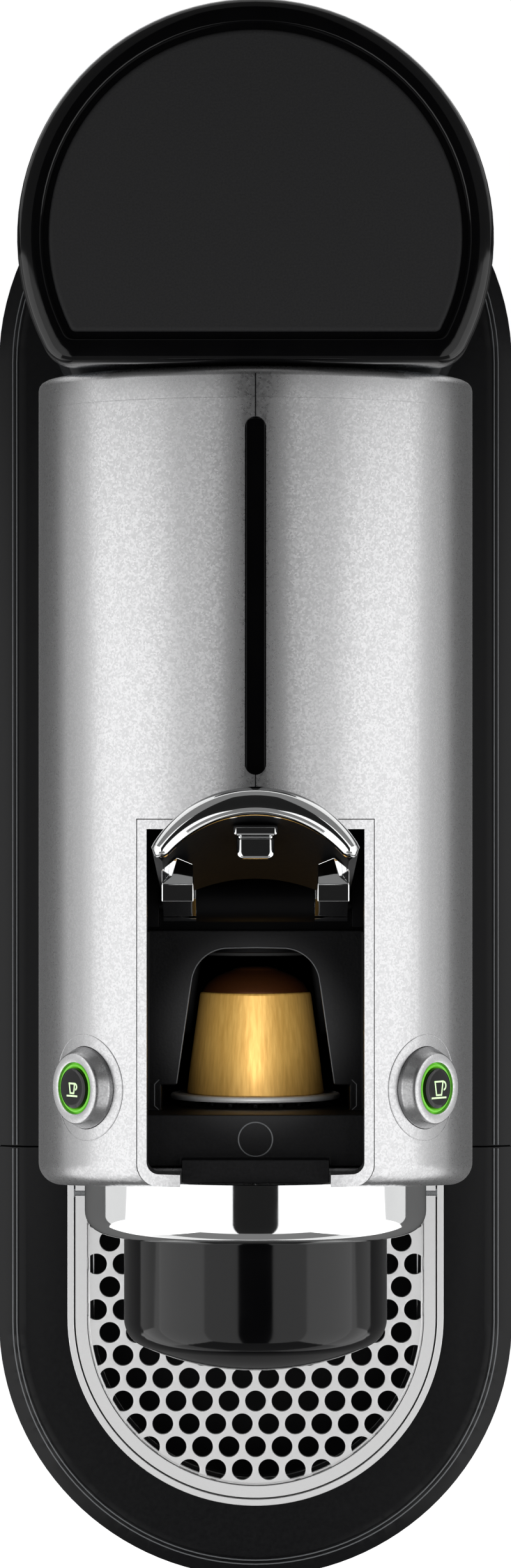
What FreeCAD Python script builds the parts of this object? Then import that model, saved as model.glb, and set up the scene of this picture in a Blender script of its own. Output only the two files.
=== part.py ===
"""Pod coffee machine: base, drip module, tower with brew unit, lever, buttons and water tank.

Frame: +X to the right, front of the machine towards -Y, +Z up, origin under the middle of the base.
The lever is modelled open, with a pod in the bay.
"""
import FreeCAD, Part
import math
import os
import Sketcher

Vector = FreeCAD.Vector
TINY = 1e-6

# Driving dimensions in millimetres and degrees, by sub-assembly
DIMENSIONS = {
    # base
    "base_length": 372, "base_width": 130, "base_top": 50, "base_wall": 2.5, "base_bevel": 3.2,
    "base_bevel_height": 7, "foot_height": 3, "foot_radius": 8, "foot_x": 45, "foot_front_y": -60,
    "foot_rear_y": 130, "plate_thickness": 2.5, "plate_gap": 0.3, "module_seam_y": -76.7,
    "boss_radius": 4.5, "boss_x": 50, "boss_front_y": -40, "boss_rear_y": 112, "screw_radius": 1.6,
    "screw_head_radius": 3, "screw_head_height": 1.6, "screw_length": 10, "window_half_width": 26,
    "window_front_y": 12, "window_rear_y": 84, "gland_y": 60, "gland_z": 20, "gland_radius": 5,
    "gland_flange": 7, "gland_bore": 3.2,
    # tank and lid
    "tank_center_y": 128.4, "lid_radius": 49.6, "lid_front_y": 102, "lid_corner": 7, "lid_top": 277,
    "lid_height": 13, "lid_edge": 3, "lid_panel_inset": 5.6, "lid_panel_depth": 1.2,
    "tank_inset": 1.2, "tank_wall": 2.2, "tank_floor": 3, "lid_skirt_gap": 0.4, "lid_skirt_depth": 4,
    "lid_skirt_wall": 2, "valve_radius": 6, "valve_depth": 9, "valve_flange": 9, "valve_flange_height": 2.5,
    "coupling_radius": 11, "coupling_depth": 16, "coupling_clearance": 0.5, "coupling_hole": 3,
    # tower shells
    "tower_radius": 47, "tower_top_z": 277, "tower_front_y": -72.2, "tower_rear_y": 95, "shell_wall": 2.5,
    "front_wall": 3, "lean_top_y": -69.2, "lean_start_z": 228, "lean_top_z": 274, "front_fillet": 5,
    "rear_panel_depth": 5, "rear_panel_inset": 0.4, "rear_panel_round": 3,
    "slot_half_width": 2.2, "slot_front_y": 16.6, "slot_rear_y": 91, "slot_insert_gap": 0.15,
    "slot_insert_recess": 1.6, "slot_insert_depth": 3.2,
    "bezel_half_width": 24.75, "bezel_rim": 2, "bezel_rear_y": 7.3, "bezel_gap": 0.15, "bezel_bottom": 262,
    "bezel_foot_x": 15.7, "bezel_foot_depth": 2.6,
    "door_half_width": 36, "door_top": 178, "bezel_front_round": 4.5,
    # pod bay and brew unit
    "bay_wall": 1.75, "bay_rear_y": -16.5, "bay_plate_bottom": 244.4, "bay_plate_top": 246.5,
    "bay_step_y": -55,
    "bay_floor_z": 260, "bay_front_y": -65.9, "bay_tongue_gap": 0.2, "bay_tongue_top": 264.4,
    "shaft_rear_y": -20.3, "shaft_rear_half": 13.7, "shaft_rear_round": 8, "shaft_front_half": 16.8,
    "groove_half": 20.1, "groove_rear_y": -49.6,
    "brew_axis_z": 225, "frame_half_width": 24, "frame_front_y": -66, "frame_rear_y": 6, "frame_bottom": 200,
    "bulkhead_thickness": 5, "lug_thickness": 3.6, "lug_front_y": -15.5, "lug_rear_y": -4.5, "lug_top": 257,
    "cage_radius": 18.9, "cage_fit": 0.4, "cage_cavity": 15.8, "cage_length": 33, "cage_floor": 4,
    "cage_front_y": -21.5, "seal_height": 1.2, "seal_inner": 16.2, "seal_outer": 18,
    "blade_length": 2.4, "blade_width": 1.2, "blade_height": 4, "blade_ring": 6,
    "pod_rim_radius": 18.5, "pod_rim_thickness": 1.2, "pod_front_y": -53.6, "pod_base_radius": 15,
    "pod_shoulder_radius": 12, "pod_shoulder_y": -29.5, "pod_end_radius": 5, "pod_end_y": -25,
    "plate_radius": 17, "plate_depth": 2.5, "plate_fit": 0.1, "stud_radius": 1, "stud_height": 0.6,
    "stud_ring_inner": 5, "stud_ring_outer": 11, "outlet_radius": 3,
    # lever
    "pivot_y": -10, "pivot_z": 252, "shaft_radius": 2.5, "shaft_fit": 0.05, "hub_radius": 4.5,
    "arm_inner_x": 12.6,
    "arm_outer_x": 19.5, "arm_top": 264, "arm_front_y": -9.4, "arm_rear_y": -4.4, "cover_thickness": 3,
    "cover_low_half": 19.8, "cover_low_crown_y": -2.2, "cover_low_rise": 6, "cover_height": 34,
    "cover_high_half": 21, "cover_high_crown_y": 13.4, "cover_high_rise": 12.4,
    "handle_half": 21.6, "handle_crown_y": 14, "handle_rise": 13.4, "handle_thickness": 6, "handle_tip": 2,
    "handle_height": 6.6,
    "catch_half": 4.8, "catch_neck_half": 3.4, "catch_front_y": -0.8, "catch_head": 2.4, "catch_height": 7,
    # nose
    "neck_radius": 30, "neck_gap": 0.2, "mount_radius": 36.9, "mount_front_y": -75, "mount_bore": 26,
    "ring_radius": 36, "ring_bore": 29.2, "ring_front_y": -85.5, "ring_round": 4.5,
    "nose_radius": 28.5, "nose_wall": 2.5, "nose_front_y": -112, "nose_dome_radius": 60, "nose_round": 6,
    "nose_floor_y": -98, "nozzle_y": -94, "nozzle_bore": 2.5, "nozzle_stem_radius": 6, "nozzle_stem_rise": 6,
    "nozzle_collar_radius": 8, "nozzle_collar_drop": 1.6, "nozzle_collar_height": 6, "nozzle_tip_radius": 5,
    "nozzle_length": 14,
    # buttons, measured outwards from the tower's axis
    "button_tilt": 50, "button_y": -49.3, "collar_base_radius": 8.65, "collar_gap": 0.1,
    "collar_top_radius": 7.5, "collar_rise": 3, "collar_flange_radius": 10, "collar_depth": 5,
    "collar_flange_height": 1.2, "lamp_outer": 5.7, "lamp_inner": 4.4, "lamp_proud": 0.2, "cap_radius": 4.3,
    "cap_proud": 0.4, "cap_height": 4, "stem_radius": 2, "stem_depth": 6.1, "switch_depth": 8.5,
    "switch_radius": 6.5, "switch_floor": 1, "switch_well": 3, "lamp_fit": 0.1,
    # water and power inside the tower
    "chassis_half_width": 34, "chassis_front_y": 8, "chassis_rear_y": 90, "chassis_thickness": 3,
    "pump_front_y": 30, "pump_rear_y": 74, "pump_axis_z": 84, "pump_radius": 16, "pump_coil_half": 20,
    "pump_coil_front_y": 40, "pump_coil_rear_y": 64, "mount_length": 6, "mount_half_width": 11,
    "mount_inset": 1.5,
    "meter_y": 18, "meter_radius": 10, "meter_height": 13, "heater_half_width": 25, "heater_rear_y": 60,
    "heater_bottom": 120, "heater_height": 60, "heater_round": 8, "hose_radius": 2.5, "hose_bend": 8,
    "inlet_drop_z": 22, "boiler_hose_y": 86, "boiler_port_z": 150, "brew_port_y": 36, "brew_port_z": 202.5,
    "board_x": 38, "board_thickness": 1.6, "board_front_y": 15, "board_rear_y": 85, "board_height": 96,
    "relay_size": 14, "relay_depth": 8, "capacitor_radius": 5, "capacitor_height": 9,
    # drip module
    "module_gap": 0.3, "tray_center_y": -120, "tray_radius": 47.6, "tray_rear_y": -84, "bowl_floor_z": 8,
    "bowl_gap": 0.3, "bowl_wall": 1.8, "bowl_floor": 2, "bowl_top": 44, "trim_width": 1.6, "trim_top": 50.6,
    "trim_gap": 0.1, "cup_gap": 0.4, "cup_frame_width": 2.9, "cup_frame_top": 50.3, "cup_ledge_width": 4.6,
    "cup_ledge_bottom": 46, "cup_ledge_top": 47.5, "cup_rear_y": -86, "cup_hinge_y": -88.6, "cup_hinge_z": 49,
    "grid_gap": 0.2, "grid_thickness": 1.8, "hole_radius": 2.65, "hole_pitch": 6.7, "row_pitch": 5.8,
    "hole_edge": 1.4, "first_row": 0.5, "pin_radius": 1.4, "pin_fit": 0.05, "pin_inner": 0.4,
    "module_foot_x": 35, "module_foot_y": -140, "tongue_half_width": 33, "tongue_rear_y": -12,
    "tongue_gap": 0.3,
    "tongue_thickness": 2, "tongue_root_y": -83,
    "box_wall": 2, "box_front_y": -71, "box_rear_y": -14, "box_top": 160, "box_half_width": 32,
    "panel_gap": 0.5,
    "panel_top_gap": 0.6, "panel_thickness": 4, "panel_crown_depth": 3,
}


class Size:
    """A size with its value now and the sheet expression that it follows."""

    def __init__(self, value, text):
        self.value = value
        self.text = text

    def join(self, other, sign, value):
        other_text = other.text if isinstance(other, Size) else repr(other)
        return Size(value, "(%s %s %s)" % (self.text, sign, other_text))

    def __add__(self, other):
        return self.join(other, "+", self.value + number(other))

    def __sub__(self, other):
        return self.join(other, "-", self.value - number(other))

    def __mul__(self, other):
        return self.join(other, "*", self.value * number(other))

    def __truediv__(self, other):
        return self.join(other, "/", self.value / number(other))

    def __rmul__(self, other):
        return self * other

    def __neg__(self):
        return Size(-self.value, "(0 - %s)" % self.text)


def number(size):
    """The plain value of a size or of a number."""
    return size.value if isinstance(size, Size) else size


def root(size):
    """Square root of a size."""
    return Size(math.sqrt(size.value), "sqrt(%s)" % size.text)


def chord(radius, offset):
    """Half the chord that a circle of this radius has at this distance from its centre."""
    return root(radius * radius - offset * offset)


def bind(target, name, size):
    """Tie a property to its size."""
    if isinstance(size, Size):
        target.setExpression(name, size.text)
    else:
        setattr(target, name, size)


class Sheet:
    """The spreadsheet of driving dimensions; each alias reads as an attribute."""

    def __init__(self, document):
        self.table = document.addObject("Spreadsheet::Sheet", "sheet")
        for row, (alias, value) in enumerate(DIMENSIONS.items(), start=1):
            self.table.set("A%d" % row, alias)
            self.table.set("B%d" % row, str(value))
            self.table.setAlias("B%d" % row, alias)

    def __getattr__(self, alias):
        return Size(float(DIMENSIONS[alias]), "sheet.%s" % alias)


doc = FreeCAD.newDocument("pod_coffee_machine")
d = Sheet(doc)
doc.recompute()
NODES = []


def new_body(label):
    """Start a sub-part that is a node of the assembly."""
    body = doc.addObject("PartDesign::Body", label)
    body.Label = label
    NODES.append(body)
    return body


def sketch(body, plane, level=0):
    """A sketch on one of the body's own planes, moved along the plane's normal to a level."""
    sk = body.newObject("Sketcher::SketchObject", body.Name + "_sketch")
    datum = [f for f in body.Origin.OriginFeatures if f.Role == plane + "_Plane"][0]
    sk.AttachmentSupport = [(datum, "")]
    sk.MapMode = "FlatFace"
    if isinstance(level, Size):
        sk.setExpression("AttachmentOffset.Base.z", (-level if plane == "XZ" else level).text)
    return sk


def tilt_to_button(target, name, side):
    """Set a placement on the tower's axis, with its Z pointing out through a button."""
    turn = FreeCAD.Rotation(Vector(0, side, 0), number(d.button_tilt))
    setattr(target, name, FreeCAD.Placement(Vector(0, number(d.button_y), number(TOWER_AXIS)), turn))
    target.setExpression(name + ".Base.y", d.button_y.text)
    target.setExpression(name + ".Base.z", TOWER_AXIS.text)
    target.setExpression(name + ".Rotation.Angle", d.button_tilt.text)


def lift(body, height):
    """Raise a sub-part that is modelled about a level axis to the height of that axis."""
    body.setExpression("Placement.Base.z", height.text)


def pin(sk, geometry, point, x, y):
    """Fix a point of a sketch at two sizes from the sketch's origin."""
    for kind, size in (("DistanceX", x), ("DistanceY", y)):
        index = sk.addConstraint(Sketcher.Constraint(kind, -1, 1, geometry, point, number(size)))
        if isinstance(size, Size):
            sk.setExpression("Constraints[%d]" % index, size.text)


def arc_between(start, step):
    """The arc from a point to a step's end round the step's centre, and which ends those are."""
    x, y, cx, cy, sense = step
    center = Vector(number(cx), number(cy), 0)
    from_point = Vector(number(start[0]), number(start[1]), 0) - center
    to_point = Vector(number(x), number(y), 0) - center
    angles = [math.atan2(p.y, p.x) for p in (from_point, to_point)]
    if sense == "cw":
        angles.reverse()
    if angles[1] <= angles[0]:
        angles[1] += 2 * math.pi
    arc = Part.ArcOfCircle(Part.Circle(center, Vector(0, 0, 1), from_point.Length), angles[0], angles[1])
    return arc, (1, 2) if sense == "ccw" else (2, 1)


def outline(sk, path, closed=True):
    """Draw an outline: a start point, then steps (x, y) or arcs (x, y, centre x, centre y, sense)."""
    ends = []
    here = path[0]
    steps = list(path[1:])
    gap = math.hypot(number(steps[-1][0]) - number(here[0]), number(steps[-1][1]) - number(here[1]))
    if closed and gap > TINY:
        steps.append(here)
    for step in steps:
        if len(step) == 2:
            a, b = [Vector(number(p[0]), number(p[1]), 0) for p in (here, step)]
            ends.append((sk.addGeometry(Part.LineSegment(a, b), False), 1, 2))
        else:
            arc, (first, last) = arc_between(here, step)
            ends.append((sk.addGeometry(arc, False), first, last))
        here = step
    followers = ends[1:] + ends[:1] if closed else ends[1:]
    for (one, _, last), (two, first, _) in zip(ends, followers):
        sk.addConstraint(Sketcher.Constraint("Coincident", one, last, two, first))
    if not closed:
        pin(sk, ends[-1][0], ends[-1][2], steps[-1][0], steps[-1][1])
    here = path[0]
    for (geometry, first, _), step in zip(ends, steps):
        pin(sk, geometry, first, here[0], here[1])
        if len(step) == 5:
            pin_arc(sk, geometry, here, step)
        here = step


def pin_arc(sk, geometry, here, step):
    """Fix the one coordinate of an arc's centre that its two ends leave free."""
    run = abs(number(step[0]) - number(here[0]))
    rise = abs(number(step[1]) - number(here[1]))
    kind, size = ("DistanceY", step[3]) if run > rise else ("DistanceX", step[2])
    index = sk.addConstraint(Sketcher.Constraint(kind, -1, 1, geometry, 3, number(size)))
    if isinstance(size, Size):
        sk.setExpression("Constraints[%d]" % index, size.text)


def circle(sk, x, y, radius):
    """Draw a circle at two sizes from the sketch's origin."""
    center = Vector(number(x), number(y), 0)
    geometry = sk.addGeometry(Part.Circle(center, Vector(0, 0, 1), number(radius)), False)
    pin(sk, geometry, 3, x, y)
    index = sk.addConstraint(Sketcher.Constraint("Radius", geometry, number(radius)))
    if isinstance(radius, Size):
        sk.setExpression("Constraints[%d]" % index, radius.text)


def rectangle(sk, x0, y0, x1, y1):
    """Draw a rectangle between two corners."""
    outline(sk, [(x0, y0), (x1, y0), (x1, y1), (x0, y1)])


def mirrored(path, side):
    """The path itself for side 1, or its mirror image in the vertical axis for side -1."""
    if side == 1:
        return path
    flip = {"cw": "ccw", "ccw": "cw"}
    turned = []
    for step in path:
        x = -step[0] if isinstance(step[0], Size) else -1 * step[0]
        if len(step) == 2:
            turned.append((x, step[1]))
        else:
            cx = -step[2] if isinstance(step[2], Size) else -1 * step[2]
            turned.append((x, step[1], cx, step[3], flip[step[4]]))
    return turned


def pad(body, sk, length, backwards=False, both=False):
    """Add material from a sketch along its normal."""
    feature = body.newObject("PartDesign::Pad", body.Name + "_pad")
    feature.Profile = sk
    bind(feature, "Length", length)
    feature.Reversed = backwards
    feature.Midplane = both
    doc.recompute()
    return feature


def pocket(body, sk, length=None, backwards=False, both=False):
    """Cut from a sketch against its normal, right through where no length is given."""
    before = body.Shape.Volume
    feature = body.newObject("PartDesign::Pocket", body.Name + "_pocket")
    feature.Profile = sk
    if length is None:
        feature.Type = "ThroughAll"
    else:
        bind(feature, "Length", length)
    feature.Reversed = backwards
    feature.Midplane = both
    doc.recompute()
    if body.Shape.Volume > before - TINY:
        raise RuntimeError("a pocket of %s cuts nothing" % body.Label)
    return feature


def revolve(body, sk, axis="V_Axis"):
    """Turn a sketch once round one of its own axes."""
    feature = body.newObject("PartDesign::Revolution", body.Name + "_turn")
    feature.Profile = sk
    feature.ReferenceAxis = (sk, [axis])
    feature.Angle = 360
    doc.recompute()
    return feature


def edges_where(body, test):
    """Names of the body's edges whose middle point and box pass a test."""
    names = []
    for index, edge in enumerate(body.Shape.Edges, start=1):
        middle = edge.valueAt((edge.FirstParameter + edge.LastParameter) / 2)
        if test(middle, edge.BoundBox):
            names.append("Edge%d" % index)
    return names


def dress(body, kind, test, **sizes):
    """Fillet or chamfer the edges that pass a test."""
    base = body.Tip
    feature = body.newObject("PartDesign::" + kind, body.Name + "_" + kind.lower())
    feature.Base = (base, edges_where(body, test))
    for name, size in sizes.items():
        if name == "Size2":
            feature.ChamferType = "Two distances"
        bind(feature, name, size)
    doc.recompute()
    return feature


def near(value, size):
    """True where a coordinate lies at a size."""
    return abs(value - number(size)) < 1e-3


# Base
HALF_LENGTH = d.base_length / 2
HALF_WIDTH = d.base_width / 2
END_CENTER = HALF_LENGTH - HALF_WIDTH
BASE_BOTTOM = d.foot_height
PLATE_TOP = BASE_BOTTOM + d.plate_thickness
BASE_CEILING = d.base_top - d.base_wall


def rear_stadium(inset, front_y):
    """Rear part of the base's outline, drawn in by an inset and closed straight at front_y."""
    half = HALF_WIDTH - inset
    return [(-half, front_y), (half, front_y), (half, END_CENTER),
            (0, END_CENTER + half, 0, END_CENTER, "ccw"),
            (-half, END_CENTER, 0, END_CENTER, "ccw")]


def boss_places():
    """Places of the screw bosses under the base."""
    return [(side * d.boss_x, y) for side in (-1, 1) for y in (d.boss_front_y, d.boss_rear_y)]


def make_base_shell():
    """Hollow base with a bevelled top edge, bosses, a wiring window and a bore for the tank coupling."""
    body = new_body("base_shell")
    sk = sketch(body, "XY", BASE_BOTTOM)
    outline(sk, rear_stadium(0, d.module_seam_y))
    pad(body, sk, d.base_top - BASE_BOTTOM)
    dress(body, "Chamfer", lambda p, box: near(p.z, d.base_top) and box.YMax > number(d.module_seam_y) + 1,
          Size=d.base_bevel, Size2=d.base_bevel_height)
    sk = sketch(body, "XY", BASE_BOTTOM)
    outline(sk, rear_stadium(d.base_wall + d.base_bevel, d.module_seam_y + d.base_wall))
    pocket(body, sk, BASE_CEILING - BASE_BOTTOM, backwards=True)
    sk = sketch(body, "XY", BASE_BOTTOM)
    outline(sk, rear_stadium(d.base_wall, d.module_seam_y + d.base_wall))
    pocket(body, sk, d.base_top - d.base_bevel_height - d.base_wall - BASE_BOTTOM, backwards=True)
    sk = sketch(body, "XY", PLATE_TOP)
    for x, y in boss_places():
        circle(sk, x, y, d.boss_radius)
    pad(body, sk, BASE_CEILING - PLATE_TOP)
    sk = sketch(body, "XY", PLATE_TOP)
    for x, y in boss_places():
        circle(sk, x, y, d.screw_radius)
    pocket(body, sk, d.screw_length, backwards=True)
    sk = sketch(body, "XY", d.base_top)
    rectangle(sk, -d.window_half_width, d.window_front_y, d.window_half_width, d.window_rear_y)
    circle(sk, 0, d.tank_center_y, d.coupling_radius)
    pocket(body, sk, d.base_wall * 2)
    sk = sketch(body, "YZ", HALF_WIDTH)
    circle(sk, d.gland_y, d.gland_z, d.gland_radius)
    pocket(body, sk, d.base_wall * 2)


def make_base_plate():
    """Floor of the base, set inside its rim under the bosses."""
    body = new_body("base_plate")
    sk = sketch(body, "XY", BASE_BOTTOM)
    gap = d.base_wall + d.plate_gap
    outline(sk, rear_stadium(gap, d.module_seam_y + gap))
    pad(body, sk, d.plate_thickness)
    sk = sketch(body, "XY", PLATE_TOP)
    for x, y in boss_places():
        circle(sk, x, y, d.screw_radius)
    pocket(body, sk)


def make_feet():
    """Four rubber feet under the base plate."""
    body = new_body("rubber_feet")
    sk = sketch(body, "XY")
    for side in (-1, 1):
        for y in (d.foot_front_y, d.foot_rear_y):
            circle(sk, side * d.foot_x, y, d.foot_radius)
    pad(body, sk, d.foot_height)


def make_base_screws():
    """Four screws that hold the plate to the bosses."""
    body = new_body("base_screws")
    sk = sketch(body, "XY", BASE_BOTTOM - d.screw_head_height)
    for x, y in boss_places():
        circle(sk, x, y, d.screw_head_radius)
    pad(body, sk, d.screw_head_height)
    sk = sketch(body, "XY", BASE_BOTTOM)
    for x, y in boss_places():
        circle(sk, x, y, d.screw_radius)
    pad(body, sk, d.plate_thickness + d.screw_length)


def make_cord_gland():
    """Bush for the mains cord in the side wall of the base."""
    body = new_body("cord_gland")
    sk = sketch(body, "YZ", HALF_WIDTH)
    circle(sk, d.gland_y, d.gland_z, d.gland_radius)
    pad(body, sk, d.base_wall, backwards=True)
    sk = sketch(body, "YZ", HALF_WIDTH - d.base_wall)
    circle(sk, d.gland_y, d.gland_z, d.gland_flange)
    pad(body, sk, d.base_wall, backwards=True)
    sk = sketch(body, "YZ", HALF_WIDTH)
    circle(sk, d.gland_y, d.gland_z, d.gland_bore)
    pocket(body, sk)


def make_tank_coupling():
    """Socket in the base that takes the tank's valve and leads to the hose."""
    body = new_body("tank_coupling")
    sk = sketch(body, "XY", d.base_top)
    circle(sk, 0, d.tank_center_y, d.coupling_radius)
    pad(body, sk, d.coupling_depth, backwards=True)
    sk = sketch(body, "XY", d.base_top)
    circle(sk, 0, d.tank_center_y, d.valve_radius + d.coupling_clearance)
    pocket(body, sk, d.valve_depth + d.coupling_clearance)
    sk = sketch(body, "XY", d.base_top)
    circle(sk, 0, d.tank_center_y, d.coupling_hole)
    pocket(body, sk)


# Tank and lid
LID_BOTTOM = d.lid_top - d.lid_height
TANK_RADIUS = d.lid_radius - d.tank_inset
TANK_FRONT = d.lid_front_y + d.tank_inset


def tank_outline(radius, front_y, corner):
    """Round outline of the tank with a flat front and two rounded front corners."""
    flat = front_y - d.tank_center_y
    inner = radius - corner
    corner_y = front_y + corner
    corner_x = chord(inner, flat + corner)
    scale = radius / inner
    meet_x = corner_x * scale
    meet_y = d.tank_center_y + (flat + corner) * scale
    rear_y = d.tank_center_y + radius
    return [(-corner_x, front_y), (corner_x, front_y), (meet_x, meet_y, corner_x, corner_y, "ccw"),
            (0, rear_y, 0, d.tank_center_y, "ccw"), (-meet_x, meet_y, 0, d.tank_center_y, "ccw"),
            (-corner_x, front_y, -corner_x, corner_y, "ccw")]


def make_water_tank():
    """Open tank that stands on the base."""
    body = new_body("water_tank")
    sk = sketch(body, "XY", d.base_top)
    outline(sk, tank_outline(TANK_RADIUS, TANK_FRONT, d.lid_corner))
    pad(body, sk, LID_BOTTOM - d.base_top)
    sk = sketch(body, "XY", LID_BOTTOM)
    outline(sk, tank_outline(TANK_RADIUS - d.tank_wall, TANK_FRONT + d.tank_wall, d.lid_corner - d.tank_wall))
    pocket(body, sk, LID_BOTTOM - d.base_top - d.tank_floor)
    sk = sketch(body, "XY", d.base_top + d.tank_floor)
    circle(sk, 0, d.tank_center_y, d.valve_radius)
    pocket(body, sk)


def make_tank_valve():
    """Valve in the tank's floor, with a stem that enters the coupling."""
    body = new_body("tank_valve")
    sk = sketch(body, "XY", d.base_top - d.valve_depth)
    circle(sk, 0, d.tank_center_y, d.valve_radius)
    pad(body, sk, d.valve_depth + d.tank_floor)
    sk = sketch(body, "XY", d.base_top + d.tank_floor)
    circle(sk, 0, d.tank_center_y, d.valve_flange)
    pad(body, sk, d.valve_flange_height)


def make_tank_lid():
    """Lid with a rounded rim, a sunken panel and a skirt that drops into the tank."""
    body = new_body("tank_lid")
    sk = sketch(body, "XY", LID_BOTTOM)
    outline(sk, tank_outline(d.lid_radius, d.lid_front_y, d.lid_corner))
    pad(body, sk, d.lid_height)
    dress(body, "Fillet", lambda p, box: near(box.ZMin, d.lid_top) and near(box.ZMax, d.lid_top),
          Radius=d.lid_edge)
    sk = sketch(body, "XY", d.lid_top)
    inset = d.lid_panel_inset
    outline(sk, tank_outline(d.lid_radius - inset, d.lid_front_y + inset, d.lid_corner - d.lid_edge))
    pocket(body, sk, d.lid_panel_depth)
    skirt = d.tank_inset + d.tank_wall + d.lid_skirt_gap
    sk = sketch(body, "XY", LID_BOTTOM)
    corner = d.lid_corner - d.tank_wall
    outline(sk, tank_outline(d.lid_radius - skirt, d.lid_front_y + skirt, corner - d.lid_skirt_gap))
    inner = skirt + d.lid_skirt_wall
    outline(sk, tank_outline(d.lid_radius - inner, d.lid_front_y + inner, corner - d.lid_skirt_wall))
    pad(body, sk, d.lid_skirt_depth, backwards=True)


# Tower
TOWER_TOP = d.tower_top_z
TOWER_AXIS = TOWER_TOP - d.tower_radius
TOWER_LENGTH = d.tower_rear_y - d.tower_front_y


def half_arch(inset):
    """Right half of the tower's arched section, drawn in by an inset, down to the base."""
    radius = d.tower_radius - inset
    return [(0, d.base_top), (radius, d.base_top), (radius, TOWER_AXIS),
            (0, TOWER_AXIS + radius, 0, TOWER_AXIS, "ccw")]


def lean_cut(depth):
    """Region in front of the leaning face of the tower, set back by a depth."""
    front = d.tower_front_y + depth
    reach = d.tower_front_y - d.tower_radius
    roof = TOWER_TOP + d.tower_radius
    slope = (d.lean_top_y - d.tower_front_y) / (d.lean_top_z - d.lean_start_z)
    roof_y = front + slope * (roof - d.lean_start_z)
    return [(front, d.lean_start_z), (roof_y, roof), (reach, roof), (reach, d.lean_start_z)]


def bezel_side(gap):
    """Right side of the bezel's outer outline, let out by a gap, from its rear corner to its front round."""
    half = d.bezel_half_width + gap
    front = d.lean_top_y - gap
    turn = d.bezel_front_round + gap
    bend = half - turn
    return [(half, d.bezel_rear_y + gap), (half, front + turn), (bend, front, bend, front + turn, "cw")]


def make_shell(label, side):
    """One half of the silver body, with the cut-outs for bezel, slot, button, nose and capsule container."""
    body = new_body(label)
    sk = sketch(body, "XZ", d.tower_front_y)
    outline(sk, mirrored(half_arch(0), side))
    pad(body, sk, TOWER_LENGTH, backwards=True)
    sk = sketch(body, "YZ")
    outline(sk, lean_cut(0))
    pocket(body, sk, both=True)
    rim_y = number(d.lean_top_y) + 1
    tall = number(d.front_fillet)
    dress(body, "Fillet", lambda p, box: box.YMax < rim_y and abs(p.x) > 1 and box.ZMax - box.ZMin > tall,
          Radius=d.front_fillet)
    sk = sketch(body, "XZ", d.tower_rear_y)
    outline(sk, mirrored(half_arch(d.shell_wall), side))
    pocket(body, sk, TOWER_LENGTH - d.front_wall - (d.lean_top_y - d.tower_front_y), backwards=True)
    sk = sketch(body, "XY", TOWER_TOP)
    corner, bend, turn = bezel_side(d.bezel_gap)
    beyond = d.tower_front_y - d.front_wall
    outline(sk, mirrored([(0, corner[1]), corner, bend, turn, (turn[0], beyond), (0, beyond)], side))
    pocket(body, sk, TOWER_TOP - d.bezel_bottom)
    sk = sketch(body, "XY", TOWER_TOP)
    rectangle(sk, 0, d.slot_front_y, side * d.slot_half_width, d.slot_rear_y)
    pocket(body, sk, d.shell_wall * 2)
    sk = sketch(body, "XZ", d.tower_front_y)
    circle(sk, 0, TOWER_AXIS, d.neck_radius + d.neck_gap)
    pocket(body, sk, d.front_wall * 3)
    sk = sketch(body, "XZ", d.tower_front_y)
    rectangle(sk, 0, d.base_top, side * d.door_half_width, d.door_top)
    pocket(body, sk, d.front_wall * 3)
    sk = sketch(body, "XY")
    tilt_to_button(sk, "AttachmentOffset", side)
    circle(sk, 0, 0, d.collar_base_radius + d.collar_gap)
    pocket(body, sk, d.tower_radius + d.shell_wall, backwards=True)


def make_rear_panel():
    """Arched panel that closes the tower behind, with a rounded rear edge."""
    body = new_body("rear_panel")
    sk = sketch(body, "XZ", d.tower_rear_y)
    radius = d.tower_radius - d.rear_panel_inset
    outline(sk, [(-radius, d.base_top), (radius, d.base_top), (radius, TOWER_AXIS),
                 (0, TOWER_AXIS + radius, 0, TOWER_AXIS, "ccw"),
                 (-radius, TOWER_AXIS, 0, TOWER_AXIS, "ccw")])
    pad(body, sk, d.rear_panel_depth, backwards=True)
    rear = d.tower_rear_y + d.rear_panel_depth
    dress(body, "Fillet", lambda p, box: near(box.YMin, rear) and p.z > number(d.base_top) + 1,
          Radius=d.rear_panel_round)


def make_slot_insert():
    """Black strip in the slot along the top seam, held by a wider flange under the shells."""
    body = new_body("slot_insert")
    half = d.slot_half_width - d.slot_insert_gap
    under = TOWER_AXIS + chord(d.tower_radius - d.shell_wall, d.slot_half_width * 2) - d.slot_insert_gap
    sk = sketch(body, "XY", under)
    rectangle(sk, -half, d.slot_front_y + d.slot_insert_gap, half, d.slot_rear_y - d.slot_insert_gap)
    pad(body, sk, TOWER_TOP - d.slot_insert_recess - under)
    sk = sketch(body, "XY", under)
    rectangle(sk, -d.slot_half_width * 2, d.slot_front_y, d.slot_half_width * 2, d.slot_rear_y)
    pad(body, sk, d.slot_insert_depth, backwards=True)


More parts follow.
